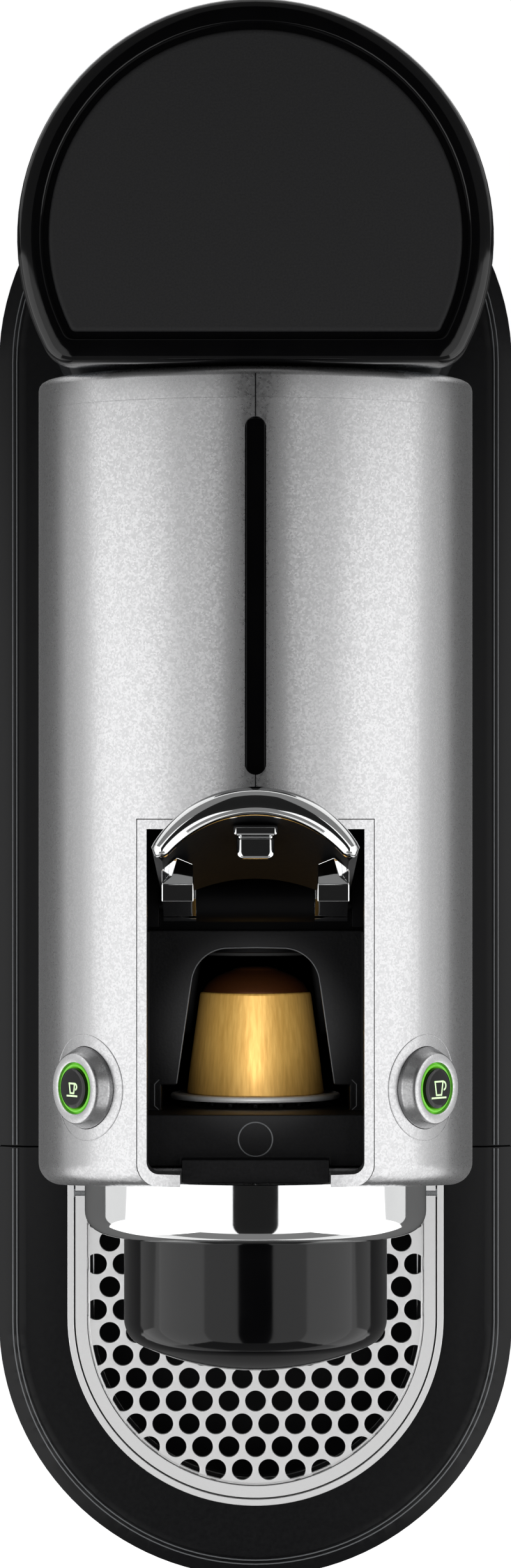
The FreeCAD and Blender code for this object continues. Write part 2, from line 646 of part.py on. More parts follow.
def make_bay_bezel():
    """Silver rim of the pod bay, open at the front between two turned-in feet, flush with the arch."""
    body = new_body("bay_bezel")
    sk = sketch(body, "XY", d.bezel_bottom)
    half = d.bezel_half_width
    inner = half - d.bezel_rim
    front = d.lean_top_y
    foot = front + d.bezel_foot_depth
    turn = d.bezel_front_round
    bend = turn - d.bezel_rim
    rear = d.bezel_rear_y
    outline(sk, [(-d.bezel_foot_x, front), (-d.bezel_foot_x, foot), (-inner + bend, foot),
                 (-inner, foot + bend, -inner + bend, foot + bend, "cw"), (-inner, rear - d.bezel_rim),
                 (inner, rear - d.bezel_rim), (inner, foot + bend),
                 (inner - bend, foot, inner - bend, foot + bend, "cw"), (d.bezel_foot_x, foot),
                 (d.bezel_foot_x, front), (half - turn, front),
                 (half, front + turn, half - turn, front + turn, "ccw"), (half, rear), (-half, rear),
                 (-half, front + turn), (-half + turn, front, -half + turn, front + turn, "ccw")])
    pad(body, sk, TOWER_TOP - d.bezel_bottom)
    sk = sketch(body, "XZ")
    reach = half + d.bezel_rim
    edge = TOWER_AXIS + chord(d.tower_radius, reach)
    roof = TOWER_TOP + d.bezel_rim
    outline(sk, [(-reach, roof), (-reach, edge), (reach, edge, 0, TOWER_AXIS, "cw"), (reach, roof)])
    pocket(body, sk, both=True)


def make_bay_insert():
    """Black trough under the bezel with the pod's shaft, the groove for its rim and a raised front floor."""
    body = new_body("bay_insert")
    half = d.bezel_half_width
    sk = sketch(body, "XY", d.bay_plate_bottom)
    rectangle(sk, -half, d.bay_front_y, half, d.bay_rear_y)
    pad(body, sk, d.bezel_bottom - d.bay_plate_bottom)
    inner = half - d.bay_wall
    beyond = d.bay_rear_y + d.bay_wall
    sk = sketch(body, "XY", d.bezel_bottom)
    rectangle(sk, -inner, d.bay_step_y, inner, beyond)
    pocket(body, sk, d.bezel_bottom - d.bay_plate_top)
    sk = sketch(body, "XY", d.bezel_bottom)
    rectangle(sk, -inner, d.bay_front_y, inner, d.bay_step_y)
    pocket(body, sk, d.bezel_bottom - d.bay_floor_z)
    sk = sketch(body, "XY", d.bay_plate_top)
    turn = d.shaft_rear_round
    rear = d.shaft_rear_y
    side = d.shaft_rear_half
    groove = d.groove_half
    outline(sk, [(side - turn, rear), (-side + turn, rear),
                 (-side, rear - turn, -side + turn, rear - turn, "ccw"),
                 (-d.shaft_front_half, d.groove_rear_y), (-groove, d.groove_rear_y), (-groove, d.bay_step_y),
                 (groove, d.bay_step_y), (groove, d.groove_rear_y), (d.shaft_front_half, d.groove_rear_y),
                 (side, rear - turn), (side - turn, rear, side - turn, rear - turn, "ccw")])
    pocket(body, sk)
    sk = sketch(body, "XY", d.bay_plate_bottom)
    rectangle(sk, -half, d.bay_front_y, half, d.bay_step_y - d.bay_wall)
    pocket(body, sk, d.bay_floor_z - d.bay_wall - d.bay_plate_bottom, backwards=True)
    sk = sketch(body, "XY", d.bay_tongue_top)
    tongue = d.bezel_foot_x - d.bay_tongue_gap
    rectangle(sk, -tongue, d.lean_top_y, tongue, d.bay_front_y)
    pad(body, sk, d.bay_tongue_top - d.bezel_bottom, backwards=True)
    sk = sketch(body, "XY", d.bay_tongue_top)
    rectangle(sk, -tongue, d.bay_front_y, tongue, d.bay_front_y + d.bay_wall)
    pad(body, sk, d.bay_tongue_top - d.bay_floor_z, backwards=True)


# Brew unit
FRAME_REAR_BORE = d.cage_radius + d.cage_fit


def make_brew_frame():
    """Frame of the brew unit: front block, cheeks, guide bore for the cage, lever lugs and a bulkhead."""
    body = new_body("brew_frame")
    half = d.frame_half_width
    sk = sketch(body, "XY", d.frame_bottom)
    rectangle(sk, -half, d.frame_front_y, half, d.frame_rear_y)
    pad(body, sk, d.bay_plate_bottom - d.frame_bottom)
    sk = sketch(body, "XY", d.base_top)
    rectangle(sk, -half, d.frame_rear_y - d.bulkhead_thickness, half, d.frame_rear_y)
    pad(body, sk, d.frame_bottom - d.base_top)
    sk = sketch(body, "XY", d.bay_plate_bottom)
    for side in (-1, 1):
        rectangle(sk, side * (half - d.lug_thickness), d.lug_front_y, side * half, d.lug_rear_y)
    pad(body, sk, d.lug_top - d.bay_plate_bottom)
    sk = sketch(body, "XY", d.bay_plate_bottom)
    rectangle(sk, -d.groove_half, d.bay_step_y, d.groove_half, d.shaft_rear_y)
    pocket(body, sk)
    sk = sketch(body, "XZ", d.frame_rear_y)
    circle(sk, 0, d.brew_axis_z, FRAME_REAR_BORE)
    pocket(body, sk, d.frame_rear_y - d.shaft_rear_y, backwards=True)
    sk = sketch(body, "XZ", d.bay_step_y)
    circle(sk, 0, d.brew_axis_z, d.plate_radius + d.plate_fit)
    pocket(body, sk, d.plate_depth, backwards=True)
    sk = sketch(body, "XZ", d.bay_step_y)
    circle(sk, 0, d.brew_axis_z, d.outlet_radius)
    pocket(body, sk, backwards=True)
    sk = sketch(body, "YZ")
    circle(sk, d.pivot_y, d.pivot_z, d.shaft_radius)
    pocket(body, sk, both=True)


def make_extraction_plate():
    """Studded steel disc that the pod is pressed against, with a drain hole."""
    body = new_body("extraction_plate")
    sk = sketch(body, "XZ", d.bay_step_y)
    circle(sk, 0, d.brew_axis_z, d.plate_radius)
    circle(sk, 0, d.brew_axis_z, d.outlet_radius)
    pad(body, sk, d.plate_depth)
    sk = sketch(body, "XZ", d.bay_step_y)
    for ring, count in ((d.stud_ring_inner, 6), (d.stud_ring_outer, 12)):
        for index in range(count):
            angle = 2 * math.pi * index / count
            circle(sk, ring * math.cos(angle), d.brew_axis_z + ring * math.sin(angle), d.stud_radius)
    pad(body, sk, d.stud_height, backwards=True)


def make_capsule_cage():
    """Cup that slides forward over the pod."""
    body = new_body("capsule_cage")
    sk = sketch(body, "XZ", d.cage_front_y)
    circle(sk, 0, d.brew_axis_z, d.cage_radius)
    pad(body, sk, d.cage_length, backwards=True)
    sk = sketch(body, "XZ", d.cage_front_y)
    circle(sk, 0, d.brew_axis_z, d.cage_cavity)
    pocket(body, sk, d.cage_length - d.cage_floor)


def make_cage_seal():
    """Sealing ring on the front rim of the cage."""
    body = new_body("cage_seal")
    sk = sketch(body, "XZ", d.cage_front_y)
    circle(sk, 0, d.brew_axis_z, d.seal_outer)
    circle(sk, 0, d.brew_axis_z, d.seal_inner)
    pad(body, sk, d.seal_height - d.stud_height)


def make_piercing_blades():
    """Three short blades on the floor of the cage."""
    body = new_body("piercing_blades")
    floor = d.cage_front_y + d.cage_length - d.cage_floor
    sk = sketch(body, "XZ", floor)
    for index in range(3):
        angle = math.pi / 2 + 2 * math.pi * index / 3
        x = d.blade_ring * math.cos(angle)
        z = d.brew_axis_z + d.blade_ring * math.sin(angle)
        wide = d.blade_width / 2
        high = d.blade_height / 2
        rectangle(sk, x - wide, z - high, x + wide, z + high)
    pad(body, sk, d.blade_length)


def make_coffee_pod():
    """Pod lying along the brew axis, with its rim at the front and a stepped dome at the rear."""
    body = new_body("coffee_pod")
    sk = sketch(body, "YZ")
    rim_rear = d.pod_front_y + d.pod_rim_thickness
    outline(sk, [(d.pod_front_y, 0), (d.pod_front_y, d.pod_rim_radius), (rim_rear, d.pod_rim_radius),
                 (rim_rear, d.pod_base_radius), (d.pod_shoulder_y, d.pod_shoulder_radius),
                 (d.pod_end_y, d.pod_end_radius), (d.pod_end_y, 0)])
    revolve(body, sk, "H_Axis")
    lift(body, d.brew_axis_z)


# Lever, open
COVER_TOP = d.arm_top + d.cover_height
COVER_MIDDLE = d.arm_top + d.cover_height / 2


def make_lever_shaft():
    """Steel shaft across the lugs."""
    body = new_body("lever_shaft")
    sk = sketch(body, "YZ")
    circle(sk, d.pivot_y, d.pivot_z, d.shaft_radius)
    pad(body, sk, d.frame_half_width * 2, both=True)


def make_lever_arms():
    """Hub on the shaft and two arms that carry the cover."""
    body = new_body("lever_arms")
    sk = sketch(body, "YZ")
    circle(sk, d.pivot_y, d.pivot_z, d.hub_radius)
    pad(body, sk, d.arm_outer_x * 2, both=True)
    for side in (-1, 1):
        sk = sketch(body, "YZ", side * d.arm_inner_x)
        outline(sk, [(d.pivot_y - d.hub_radius, d.pivot_z), (d.pivot_y + d.hub_radius, d.pivot_z),
                     (d.arm_rear_y, d.arm_top), (d.arm_front_y, d.arm_top)])
        pad(body, sk, d.arm_outer_x - d.arm_inner_x, backwards=side < 0)
    sk = sketch(body, "YZ")
    circle(sk, d.pivot_y, d.pivot_z, d.shaft_radius + d.shaft_fit)
    pocket(body, sk, both=True)


def bow(half, crown_y, rise, thickness, tip):
    """Crescent between two arcs, with its crown to the rear and blunt tips."""
    outer = (half * half + rise * rise) / (rise * 2)
    inner_half = half - tip
    inner_rise = rise + tip - thickness
    inner = (inner_half * inner_half + inner_rise * inner_rise) / (inner_rise * 2)
    tip_y = crown_y - rise
    inner_y = tip_y - tip
    return [(half, tip_y), (-half, tip_y, 0, crown_y - outer, "ccw"), (-inner_half, inner_y),
            (inner_half, inner_y, 0, crown_y - thickness - inner, "cw")]


def make_lever_cover():
    """Black arched cover that widens towards the handle."""
    body = new_body("lever_cover")
    wall = d.cover_thickness
    low = sketch(body, "XY", d.arm_top)
    outline(low, bow(d.cover_low_half, d.cover_low_crown_y, d.cover_low_rise, wall, d.handle_tip))
    high = sketch(body, "XY", COVER_TOP)
    outline(high, bow(d.cover_high_half, d.cover_high_crown_y, d.cover_high_rise, wall, d.handle_tip))
    loft = body.newObject("PartDesign::AdditiveLoft", "lever_cover_loft")
    loft.Profile = low
    loft.Sections = [high]
    loft.Ruled = True
    doc.recompute()


def make_lever_handle():
    """Chrome crescent along the free edge of the cover."""
    body = new_body("lever_handle")
    sk = sketch(body, "XY", COVER_TOP)
    outline(sk, bow(d.handle_half, d.handle_crown_y, d.handle_rise, d.handle_thickness, d.handle_tip))
    pad(body, sk, d.handle_height)


def make_lever_catch():
    """T-shaped catch on the inner face of the cover."""
    body = new_body("lever_catch")
    crown = (d.cover_low_crown_y + d.cover_high_crown_y) / 2
    seat = crown - d.cover_thickness - d.shaft_fit
    sk = sketch(body, "XY", COVER_MIDDLE)
    rectangle(sk, -d.catch_neck_half, d.catch_front_y, d.catch_neck_half, seat)
    pad(body, sk, d.catch_height)
    sk = sketch(body, "XY", COVER_MIDDLE)
    rectangle(sk, -d.catch_half, d.catch_front_y - d.catch_head, d.catch_half, d.catch_front_y)
    pad(body, sk, d.catch_height)


# Nose
def make_nose_mount():
    """Black flange against the leaning face of the tower, with a neck that reaches the brew frame."""
    body = new_body("nose_mount")
    sk = sketch(body, "XZ", d.mount_front_y)
    circle(sk, 0, TOWER_AXIS, d.mount_radius)
    pad(body, sk, d.lean_top_y - d.mount_front_y, backwards=True)
    sk = sketch(body, "YZ")
    low = TOWER_AXIS - d.mount_radius - d.front_wall
    lean = lean_cut(0)
    outline(sk, [(lean[0][0], low), lean[0], lean[1], (0, lean[1][1]), (0, low)])
    pocket(body, sk, both=True)
    sk = sketch(body, "XZ", d.mount_front_y)
    circle(sk, 0, TOWER_AXIS, d.neck_radius)
    pad(body, sk, d.frame_front_y - d.mount_front_y, backwards=True)
    sk = sketch(body, "XZ", d.mount_front_y)
    circle(sk, 0, TOWER_AXIS, d.mount_bore)
    pocket(body, sk)


def make_chrome_ring():
    """Chrome ring in front of the mount, with a rounded front edge."""
    body = new_body("chrome_ring")
    sk = sketch(body, "YZ")
    shoulder = d.ring_front_y + d.ring_round
    lip = d.ring_radius - d.ring_round
    outline(sk, [(d.mount_front_y, d.ring_bore), (d.mount_front_y, d.ring_radius), (shoulder, d.ring_radius),
                 (d.ring_front_y, lip, shoulder, lip, "ccw"), (d.ring_front_y, d.ring_bore)])
    revolve(body, sk, "H_Axis")
    lift(body, TOWER_AXIS)


def make_nose_cap():
    """Black barrel with a softly domed front and a hole underneath for the nozzle."""
    body = new_body("nose_cap")
    sk = sketch(body, "YZ")
    radius = d.nose_radius
    inner = radius - d.nose_wall
    dome_y = d.nose_front_y + d.nose_dome_radius
    round_z = radius - d.nose_round
    reach = d.nose_dome_radius - d.nose_round
    round_y = dome_y - chord(reach, round_z)
    share = d.nose_dome_radius / reach
    meet_y = dome_y + (round_y - dome_y) * share
    meet_z = round_z * share
    outline(sk, [(d.mount_front_y, inner), (d.mount_front_y, radius), (round_y, radius),
                 (meet_y, meet_z, round_y, round_z, "ccw"), (d.nose_front_y, 0, dome_y, 0, "ccw"),
                 (d.nose_floor_y, 0), (d.nose_floor_y, inner)])
    revolve(body, sk, "H_Axis")
    sk = sketch(body, "XY")
    circle(sk, 0, d.nozzle_y, d.nozzle_stem_radius)
    pocket(body, sk, d.nose_radius * 2)
    lift(body, TOWER_AXIS)


def make_coffee_nozzle():
    """Spout under the nose."""
    body = new_body("coffee_nozzle")
    sk = sketch(body, "XZ")
    top = TOWER_AXIS - d.nose_radius
    collar = top - d.nozzle_collar_drop
    skirt = collar - d.nozzle_collar_height
    tip = top - d.nozzle_length
    outline(sk, [(d.nozzle_bore, tip), (d.nozzle_tip_radius, tip), (d.nozzle_collar_radius, skirt),
                 (d.nozzle_collar_radius, collar), (d.nozzle_stem_radius, collar),
                 (d.nozzle_stem_radius, top + d.nozzle_stem_rise), (d.nozzle_bore, top + d.nozzle_stem_rise)])
    revolve(body, sk)
    body.setExpression("Placement.Base.y", d.nozzle_y.text)


# Buttons
def make_button(name, side):
    """Collar, light ring, cap and switch of one button, turned about the button's own axis."""
    face = d.tower_radius + d.collar_rise
    seat = d.tower_radius - d.collar_depth
    flange = seat + d.collar_flange_height
    stem = d.tower_radius - d.stem_depth
    switch = d.tower_radius - d.switch_depth
    profiles = {
        "button_collar": [(d.lamp_outer + d.lamp_fit, seat), (d.collar_flange_radius, seat),
                          (d.collar_flange_radius, flange), (d.collar_base_radius, flange),
                          (d.collar_base_radius, d.tower_radius), (d.collar_top_radius, face),
                          (d.lamp_outer + d.lamp_fit, face)],
        "light_ring": [(d.lamp_inner, seat), (d.lamp_outer, seat),
                       (d.lamp_outer, face + d.lamp_proud), (d.lamp_inner, face + d.lamp_proud)],
        "button": [(0, stem), (d.stem_radius, stem), (d.stem_radius, face + d.cap_proud - d.cap_height),
                   (d.cap_radius, face + d.cap_proud - d.cap_height), (d.cap_radius, face + d.cap_proud),
                   (0, face + d.cap_proud)],
        "button_switch": [(0, switch), (d.switch_radius, switch), (d.switch_radius, seat),
                          (d.switch_well, seat), (d.switch_well, switch + d.switch_floor),
                          (0, switch + d.switch_floor)],
    }
    for piece, profile in profiles.items():
        body = new_body("%s_%s" % (name, piece))
        sk = sketch(body, "XZ")
        outline(sk, profile)
        revolve(body, sk)
        tilt_to_button(body, "Placement", side)


# Water and power inside the tower
CHASSIS_TOP = d.base_top + d.chassis_thickness


def make_chassis():
    """Plate over the window of the base that carries pump and flow meter."""
    body = new_body("pump_chassis")
    sk = sketch(body, "XY", d.base_top)
    rectangle(sk, -d.chassis_half_width, d.chassis_front_y, d.chassis_half_width, d.chassis_rear_y)
    circle(sk, 0, d.meter_y, d.hose_radius)
    pad(body, sk, d.chassis_thickness)


def make_pump():
    """Vibration pump: a barrel with a square coil round its middle."""
    body = new_body("pump")
    sk = sketch(body, "XZ", d.pump_front_y)
    circle(sk, 0, d.pump_axis_z, d.pump_radius)
    pad(body, sk, d.pump_rear_y - d.pump_front_y, backwards=True)
    sk = sketch(body, "XZ", d.pump_coil_front_y)
    coil = d.pump_coil_half
    rectangle(sk, -coil, d.pump_axis_z - coil, coil, d.pump_axis_z + coil)
    pad(body, sk, d.pump_coil_rear_y - d.pump_coil_front_y, backwards=True)


def make_pump_mounts():
    """Two rubber blocks under the ends of the pump's barrel."""
    body = new_body("pump_mounts")
    half = d.mount_half_width
    crest = d.pump_axis_z - chord(d.pump_radius, half)
    for start in (d.pump_front_y + d.mount_inset, d.pump_rear_y - d.mount_inset - d.mount_length):
        sk = sketch(body, "XZ", start)
        outline(sk, [(half, crest), (half, CHASSIS_TOP), (-half, CHASSIS_TOP), (-half, crest),
                     (half, crest, 0, d.pump_axis_z, "ccw")])
        pad(body, sk, d.mount_length, backwards=True)


def make_flow_meter():
    """Round flow meter in front of the pump."""
    body = new_body("flow_meter")
    sk = sketch(body, "XY", CHASSIS_TOP)
    circle(sk, 0, d.meter_y, d.meter_radius)
    pad(body, sk, d.meter_height)


def make_thermoblock():
    """Cast heater block on the bulkhead."""
    body = new_body("thermoblock")
    sk = sketch(body, "XY", d.heater_bottom)
    half = d.heater_half_width
    turn = d.heater_round
    rear = d.heater_rear_y
    outline(sk, [(-half, d.frame_rear_y), (half, d.frame_rear_y), (half, rear - turn),
                 (half - turn, rear, half - turn, rear - turn, "ccw"), (-half + turn, rear),
                 (-half, rear - turn, -half + turn, rear - turn, "ccw")])
    pad(body, sk, d.heater_height)


def make_hose(label, points, plane, level):
    """Hose in the middle plane: straight runs from point to point with a round bend at each corner."""
    body = new_body(label)
    spine = sketch(body, "YZ")
    path = [points[0]]
    for before, corner, after in zip(points, points[1:], points[2:]):
        entry = step_towards(corner, before, d.hose_bend)
        leave = step_towards(corner, after, d.hose_bend)
        center = (entry[0] + (leave[0] - corner[0]), entry[1] + (leave[1] - corner[1]))
        turn = cross(corner, before, after)
        path.append(entry)
        path.append((leave[0], leave[1], center[0], center[1], "cw" if turn > 0 else "ccw"))
    path.append(points[-1])
    outline(spine, path, closed=False)
    profile = sketch(body, plane, level)
    circle(profile, 0, points[0][0] if plane == "XY" else points[0][1], d.hose_radius)
    doc.recompute()
    pipe = body.newObject("PartDesign::AdditivePipe", label + "_pipe")
    pipe.Profile = profile
    pipe.Spine = (spine, ["Edge%d" % (index + 1) for index in range(len(path) - 1)])
    doc.recompute()
    length = spine.Shape.Length
    wanted = math.pi * number(d.hose_radius) ** 2 * length
    if abs(body.Shape.Volume - wanted) > wanted * 0.02:
        raise RuntimeError("%s has the wrong volume" % label)


def step_towards(corner, other, bend):
    """The point on a run of a hose where the bend at a corner starts."""
    across = number(other[0]) - number(corner[0])
    up = number(other[1]) - number(corner[1])
    if abs(across) > abs(up):
        return (corner[0] + bend * math.copysign(1, across), corner[1])
    return (corner[0], corner[1] + bend * math.copysign(1, up))


def cross(corner, before, after):
    """Sign of the turn from one run of a hose to the next."""
    ax, ay = number(before[0]) - number(corner[0]), number(before[1]) - number(corner[1])
    bx, by = number(after[0]) - number(corner[0]), number(after[1]) - number(corner[1])
    return ax * by - ay * bx


def make_hoses():
    """Hoses from the tank to the flow meter, on to the pump, to the heater and to the brew unit."""
    socket = d.base_top - d.coupling_depth
    make_hose("inlet_hose", [(d.tank_center_y, socket), (d.tank_center_y, d.inlet_drop_z),
                             (d.meter_y, d.inlet_drop_z), (d.meter_y, CHASSIS_TOP)], "XY", socket)
    meter_top = CHASSIS_TOP + d.meter_height
    make_hose("pump_hose", [(d.meter_y, meter_top), (d.meter_y, d.pump_axis_z),
                            (d.pump_front_y, d.pump_axis_z)], "XY", meter_top)
    make_hose("boiler_hose", [(d.pump_rear_y, d.pump_axis_z), (d.boiler_hose_y, d.pump_axis_z),
                              (d.boiler_hose_y, d.boiler_port_z), (d.heater_rear_y, d.boiler_port_z)],
              "XZ", d.pump_rear_y)
    heater_top = d.heater_bottom + d.heater_height
    make_hose("brew_hose", [(d.brew_port_y, heater_top), (d.brew_port_y, d.brew_port_z),
                            (d.frame_rear_y, d.brew_port_z)], "XY", heater_top)


def make_control_board():
    """Circuit board on edge beside the pump, with a relay and a capacitor."""
    body = new_body("control_board")
    sk = sketch(body, "YZ", d.board_x)
    rectangle(sk, d.board_front_y, d.base_top, d.board_rear_y, d.base_top + d.board_height)
    pad(body, sk, d.board_thickness)
    sk = sketch(body, "YZ", d.board_x)
    middle = (d.board_front_y + d.board_rear_y) / 2
    shelf = d.base_top + d.board_height / 2
    rectangle(sk, middle, shelf, middle + d.relay_size, shelf + d.relay_size)
    pad(body, sk, d.relay_depth, backwards=True)
    sk = sketch(body, "YZ", d.board_x)
    circle(sk, middle - d.relay_size, shelf, d.capacitor_radius)
    pad(body, sk, d.capacitor_height, backwards=True)


# Drip module
MODULE_REAR = d.module_seam_y - d.module_gap


def tray_shape(inset, rear_y):
    """Tray outline: round front and straight sides, drawn in by an inset and closed straight at rear_y."""
    half = d.tray_radius - inset
    middle = d.tray_center_y
    return [(half, rear_y), (-half, rear_y), (-half, middle), (half, middle, 0, middle, "ccw")]


def make_drip_housing():
    """Front end of the base that slides out, with a well for the bowl and a tongue for the container."""
    body = new_body("drip_housing")
    sk = sketch(body, "XY", BASE_BOTTOM)
    outline(sk, [(HALF_WIDTH, MODULE_REAR), (-HALF_WIDTH, MODULE_REAR), (-HALF_WIDTH, -END_CENTER),
                 (HALF_WIDTH, -END_CENTER, 0, -END_CENTER, "ccw")])
    pad(body, sk, d.base_top - BASE_BOTTOM)
    dress(body, "Chamfer", lambda p, box: near(p.z, d.base_top) and box.YMin < number(MODULE_REAR) - 1,
          Size=d.base_bevel, Size2=d.base_bevel_height)
    sk = sketch(body, "XY", d.base_top)
    outline(sk, tray_shape(0, d.tray_rear_y))
    pocket(body, sk, d.base_top - d.bowl_floor_z)
    sk = sketch(body, "XY", d.base_top)
    rectangle(sk, -d.tongue_half_width, d.tongue_root_y, d.tongue_half_width, MODULE_REAR)
    pad(body, sk, d.tongue_gap + d.tongue_thickness)
    sk = sketch(body, "XY", d.base_top + d.tongue_gap)
    rectangle(sk, -d.tongue_half_width, MODULE_REAR, d.tongue_half_width, d.tongue_rear_y)
    pad(body, sk, d.tongue_thickness)


def make_module_feet():
    """Two rubber feet under the drip module."""
    body = new_body("module_feet")
    sk = sketch(body, "XY")
    for side in (-1, 1):
        circle(sk, side * d.module_foot_x, d.module_foot_y, d.foot_radius)
    pad(body, sk, d.foot_height)


def make_drip_bowl():
    """Bowl that catches drips under the cup support."""
    body = new_body("drip_bowl")
    sk = sketch(body, "XY", d.bowl_floor_z)
    outline(sk, tray_shape(d.bowl_gap, d.tray_rear_y - d.bowl_gap))
    pad(body, sk, d.bowl_top - d.bowl_floor_z)
    sk = sketch(body, "XY", d.bowl_top)
    inset = d.bowl_gap + d.bowl_wall
    outline(sk, tray_shape(inset, d.tray_rear_y - inset))
    pocket(body, sk, d.bowl_top - d.bowl_floor_z - d.bowl_floor)


def make_tray_trim():
    """Chrome trim round the mouth of the drip module."""
    body = new_body("tray_trim")
    sk = sketch(body, "XY", d.bowl_top)
    outline(sk, tray_shape(d.trim_gap, d.tray_rear_y - d.trim_gap))
    inset = d.trim_gap + d.trim_width
    outline(sk, tray_shape(inset, d.tray_rear_y - d.trim_gap - d.trim_width))
    pad(body, sk, d.trim_top - d.bowl_top)
    hinge_bore(body, d.pin_radius)


def hinge_bore(body, radius):
    """Bore for the pins of the cup support, right across."""
    sk = sketch(body, "YZ")
    circle(sk, d.cup_hinge_y, d.cup_hinge_z, radius)
    pocket(body, sk, both=True)


CUP_INSET = d.trim_gap + d.trim_width + d.cup_gap


def make_cup_frame():
    """Chrome frame of the folding cup support, with a ledge for the plate."""
    body = new_body("cup_frame")
    sk = sketch(body, "XY", d.cup_ledge_bottom)
    outline(sk, tray_shape(CUP_INSET, d.cup_rear_y))
    outline(sk, tray_shape(CUP_INSET + d.cup_ledge_width, d.cup_rear_y - d.cup_ledge_width))
    pad(body, sk, d.cup_ledge_top - d.cup_ledge_bottom)
    sk = sketch(body, "XY", d.cup_ledge_top)
    outline(sk, tray_shape(CUP_INSET, d.cup_rear_y))
    outline(sk, tray_shape(CUP_INSET + d.cup_frame_width, d.cup_rear_y - d.cup_frame_width))
    pad(body, sk, d.cup_frame_top - d.cup_ledge_top)
    hinge_bore(body, d.pin_radius + d.pin_fit)


def make_cup_grid():
    """Perforated plate on the frame's ledge, with holes in staggered rows."""
    body = new_body("cup_grid")
    inset = CUP_INSET + d.cup_frame_width + d.grid_gap
    rear = d.cup_rear_y - d.cup_frame_width - d.grid_gap
    sk = sketch(body, "XY", d.cup_ledge_top)
    outline(sk, tray_shape(inset, rear))
    pad(body, sk, d.grid_thickness)
    reach = number(d.tray_radius - inset - d.hole_radius - d.hole_edge)
    rows = int((reach + number(rear) - number(d.tray_center_y)) / number(d.row_pitch))
    sk = sketch(body, "XY", d.cup_ledge_top + d.grid_thickness)
    for row in range(rows):
        y = d.tray_center_y + d.first_row - d.row_pitch * (int(reach / number(d.row_pitch)) - row)
        depth = min(number(y) - number(d.tray_center_y), 0)
        room = math.sqrt(max(reach ** 2 - depth ** 2, 0))
        shift = 0.5 * (row % 2)
        if number(y) > number(rear - d.hole_radius - d.hole_edge):
            continue
        for column in range(-20, 21):
            x = d.hole_pitch * (column + shift)
            if abs(number(x)) < room:
                circle(sk, x, y, d.hole_radius)
    pocket(body, sk)


def make_hinge_pins():
    """Two pins on which the cup support folds."""
    body = new_body("cup_hinge_pins")
    outer = d.tray_radius - d.trim_gap
    length = d.trim_width + d.cup_gap + d.cup_frame_width - d.pin_inner
    for side in (-1, 1):
        sk = sketch(body, "YZ", side * outer)
        circle(sk, d.cup_hinge_y, d.cup_hinge_z, d.pin_radius)
        pad(body, sk, length, backwards=side > 0)


def make_capsule_container():
    """Open bin for used pods on the module's tongue, behind a bowed front panel."""
    body = new_body("capsule_container")
    floor = d.base_top + d.tongue_gap + d.tongue_thickness
    half = d.box_half_width
    sk = sketch(body, "XY", floor)
    rectangle(sk, -half, d.box_front_y, half, d.box_rear_y)
    pad(body, sk, d.box_top - floor)
    sk = sketch(body, "XY", d.box_top)
    wall = d.box_wall
    rectangle(sk, -half + wall, d.box_front_y + wall, half - wall, d.box_rear_y - wall)
    pocket(body, sk, d.box_top - floor - wall)
    panel = d.door_half_width - d.panel_gap
    face = d.box_front_y - d.panel_thickness
    radius = (panel * panel + d.panel_crown_depth * d.panel_crown_depth) / (d.panel_crown_depth * 2)
    sk = sketch(body, "XY", floor)
    outline(sk, [(panel, d.box_front_y), (-panel, d.box_front_y), (-panel, face + d.panel_crown_depth),
                 (panel, face + d.panel_crown_depth, 0, face + radius, "ccw")])
    pad(body, sk, d.door_top - d.panel_top_gap - floor)


make_base_shell()
make_base_plate()
make_feet()
make_base_screws()
make_cord_gland()
make_tank_coupling()
make_water_tank()
make_tank_valve()
make_tank_lid()
make_shell("right_shell", 1)
make_shell("left_shell", -1)
make_rear_panel()
make_slot_insert()
make_bay_bezel()
make_bay_insert()
make_brew_frame()
make_extraction_plate()
make_capsule_cage()
make_cage_seal()
make_piercing_blades()
make_coffee_pod()
make_lever_shaft()
make_lever_arms()
make_lever_cover()
make_lever_handle()
make_lever_catch()
make_nose_mount()
make_chrome_ring()
make_nose_cap()
make_coffee_nozzle()
make_button("right", 1)
make_button("left", -1)
make_chassis()
make_pump()
make_pump_mounts()
make_flow_meter()
make_thermoblock()
make_hoses()
make_control_board()
make_drip_housing()
make_module_feet()
make_drip_bowl()
make_tray_trim()
make_cup_frame()
make_cup_grid()
make_hinge_pins()
make_capsule_container()

doc.recompute()
for item in doc.Objects:
    if "Invalid" in item.State or "Error" in item.State:
        raise RuntimeError("%s failed to build" % item.Label)
os.makedirs("parts", exist_ok=True)
for node in NODES:
    if node.Shape.isNull() or not node.Shape.isValid():
        raise RuntimeError("%s is not a sound shape" % node.Label)
    node.Shape.exportStep("parts/%s.step" % node.Label)
    print(node.Label, len(node.Shape.Solids), round(node.Shape.Volume), node.Shape.BoundBox)
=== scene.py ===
"""Looks of the pod coffee machine: finishes, detailed pieces, studio light and camera.

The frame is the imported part: +X right, front towards -Y, +Z up, in metres. Sizes here are millimetres
and are turned to metres where the meshes are shaped.
"""
from __future__ import annotations

import logging
import math
from dataclasses import dataclass
from enum import Enum
from typing import Sequence

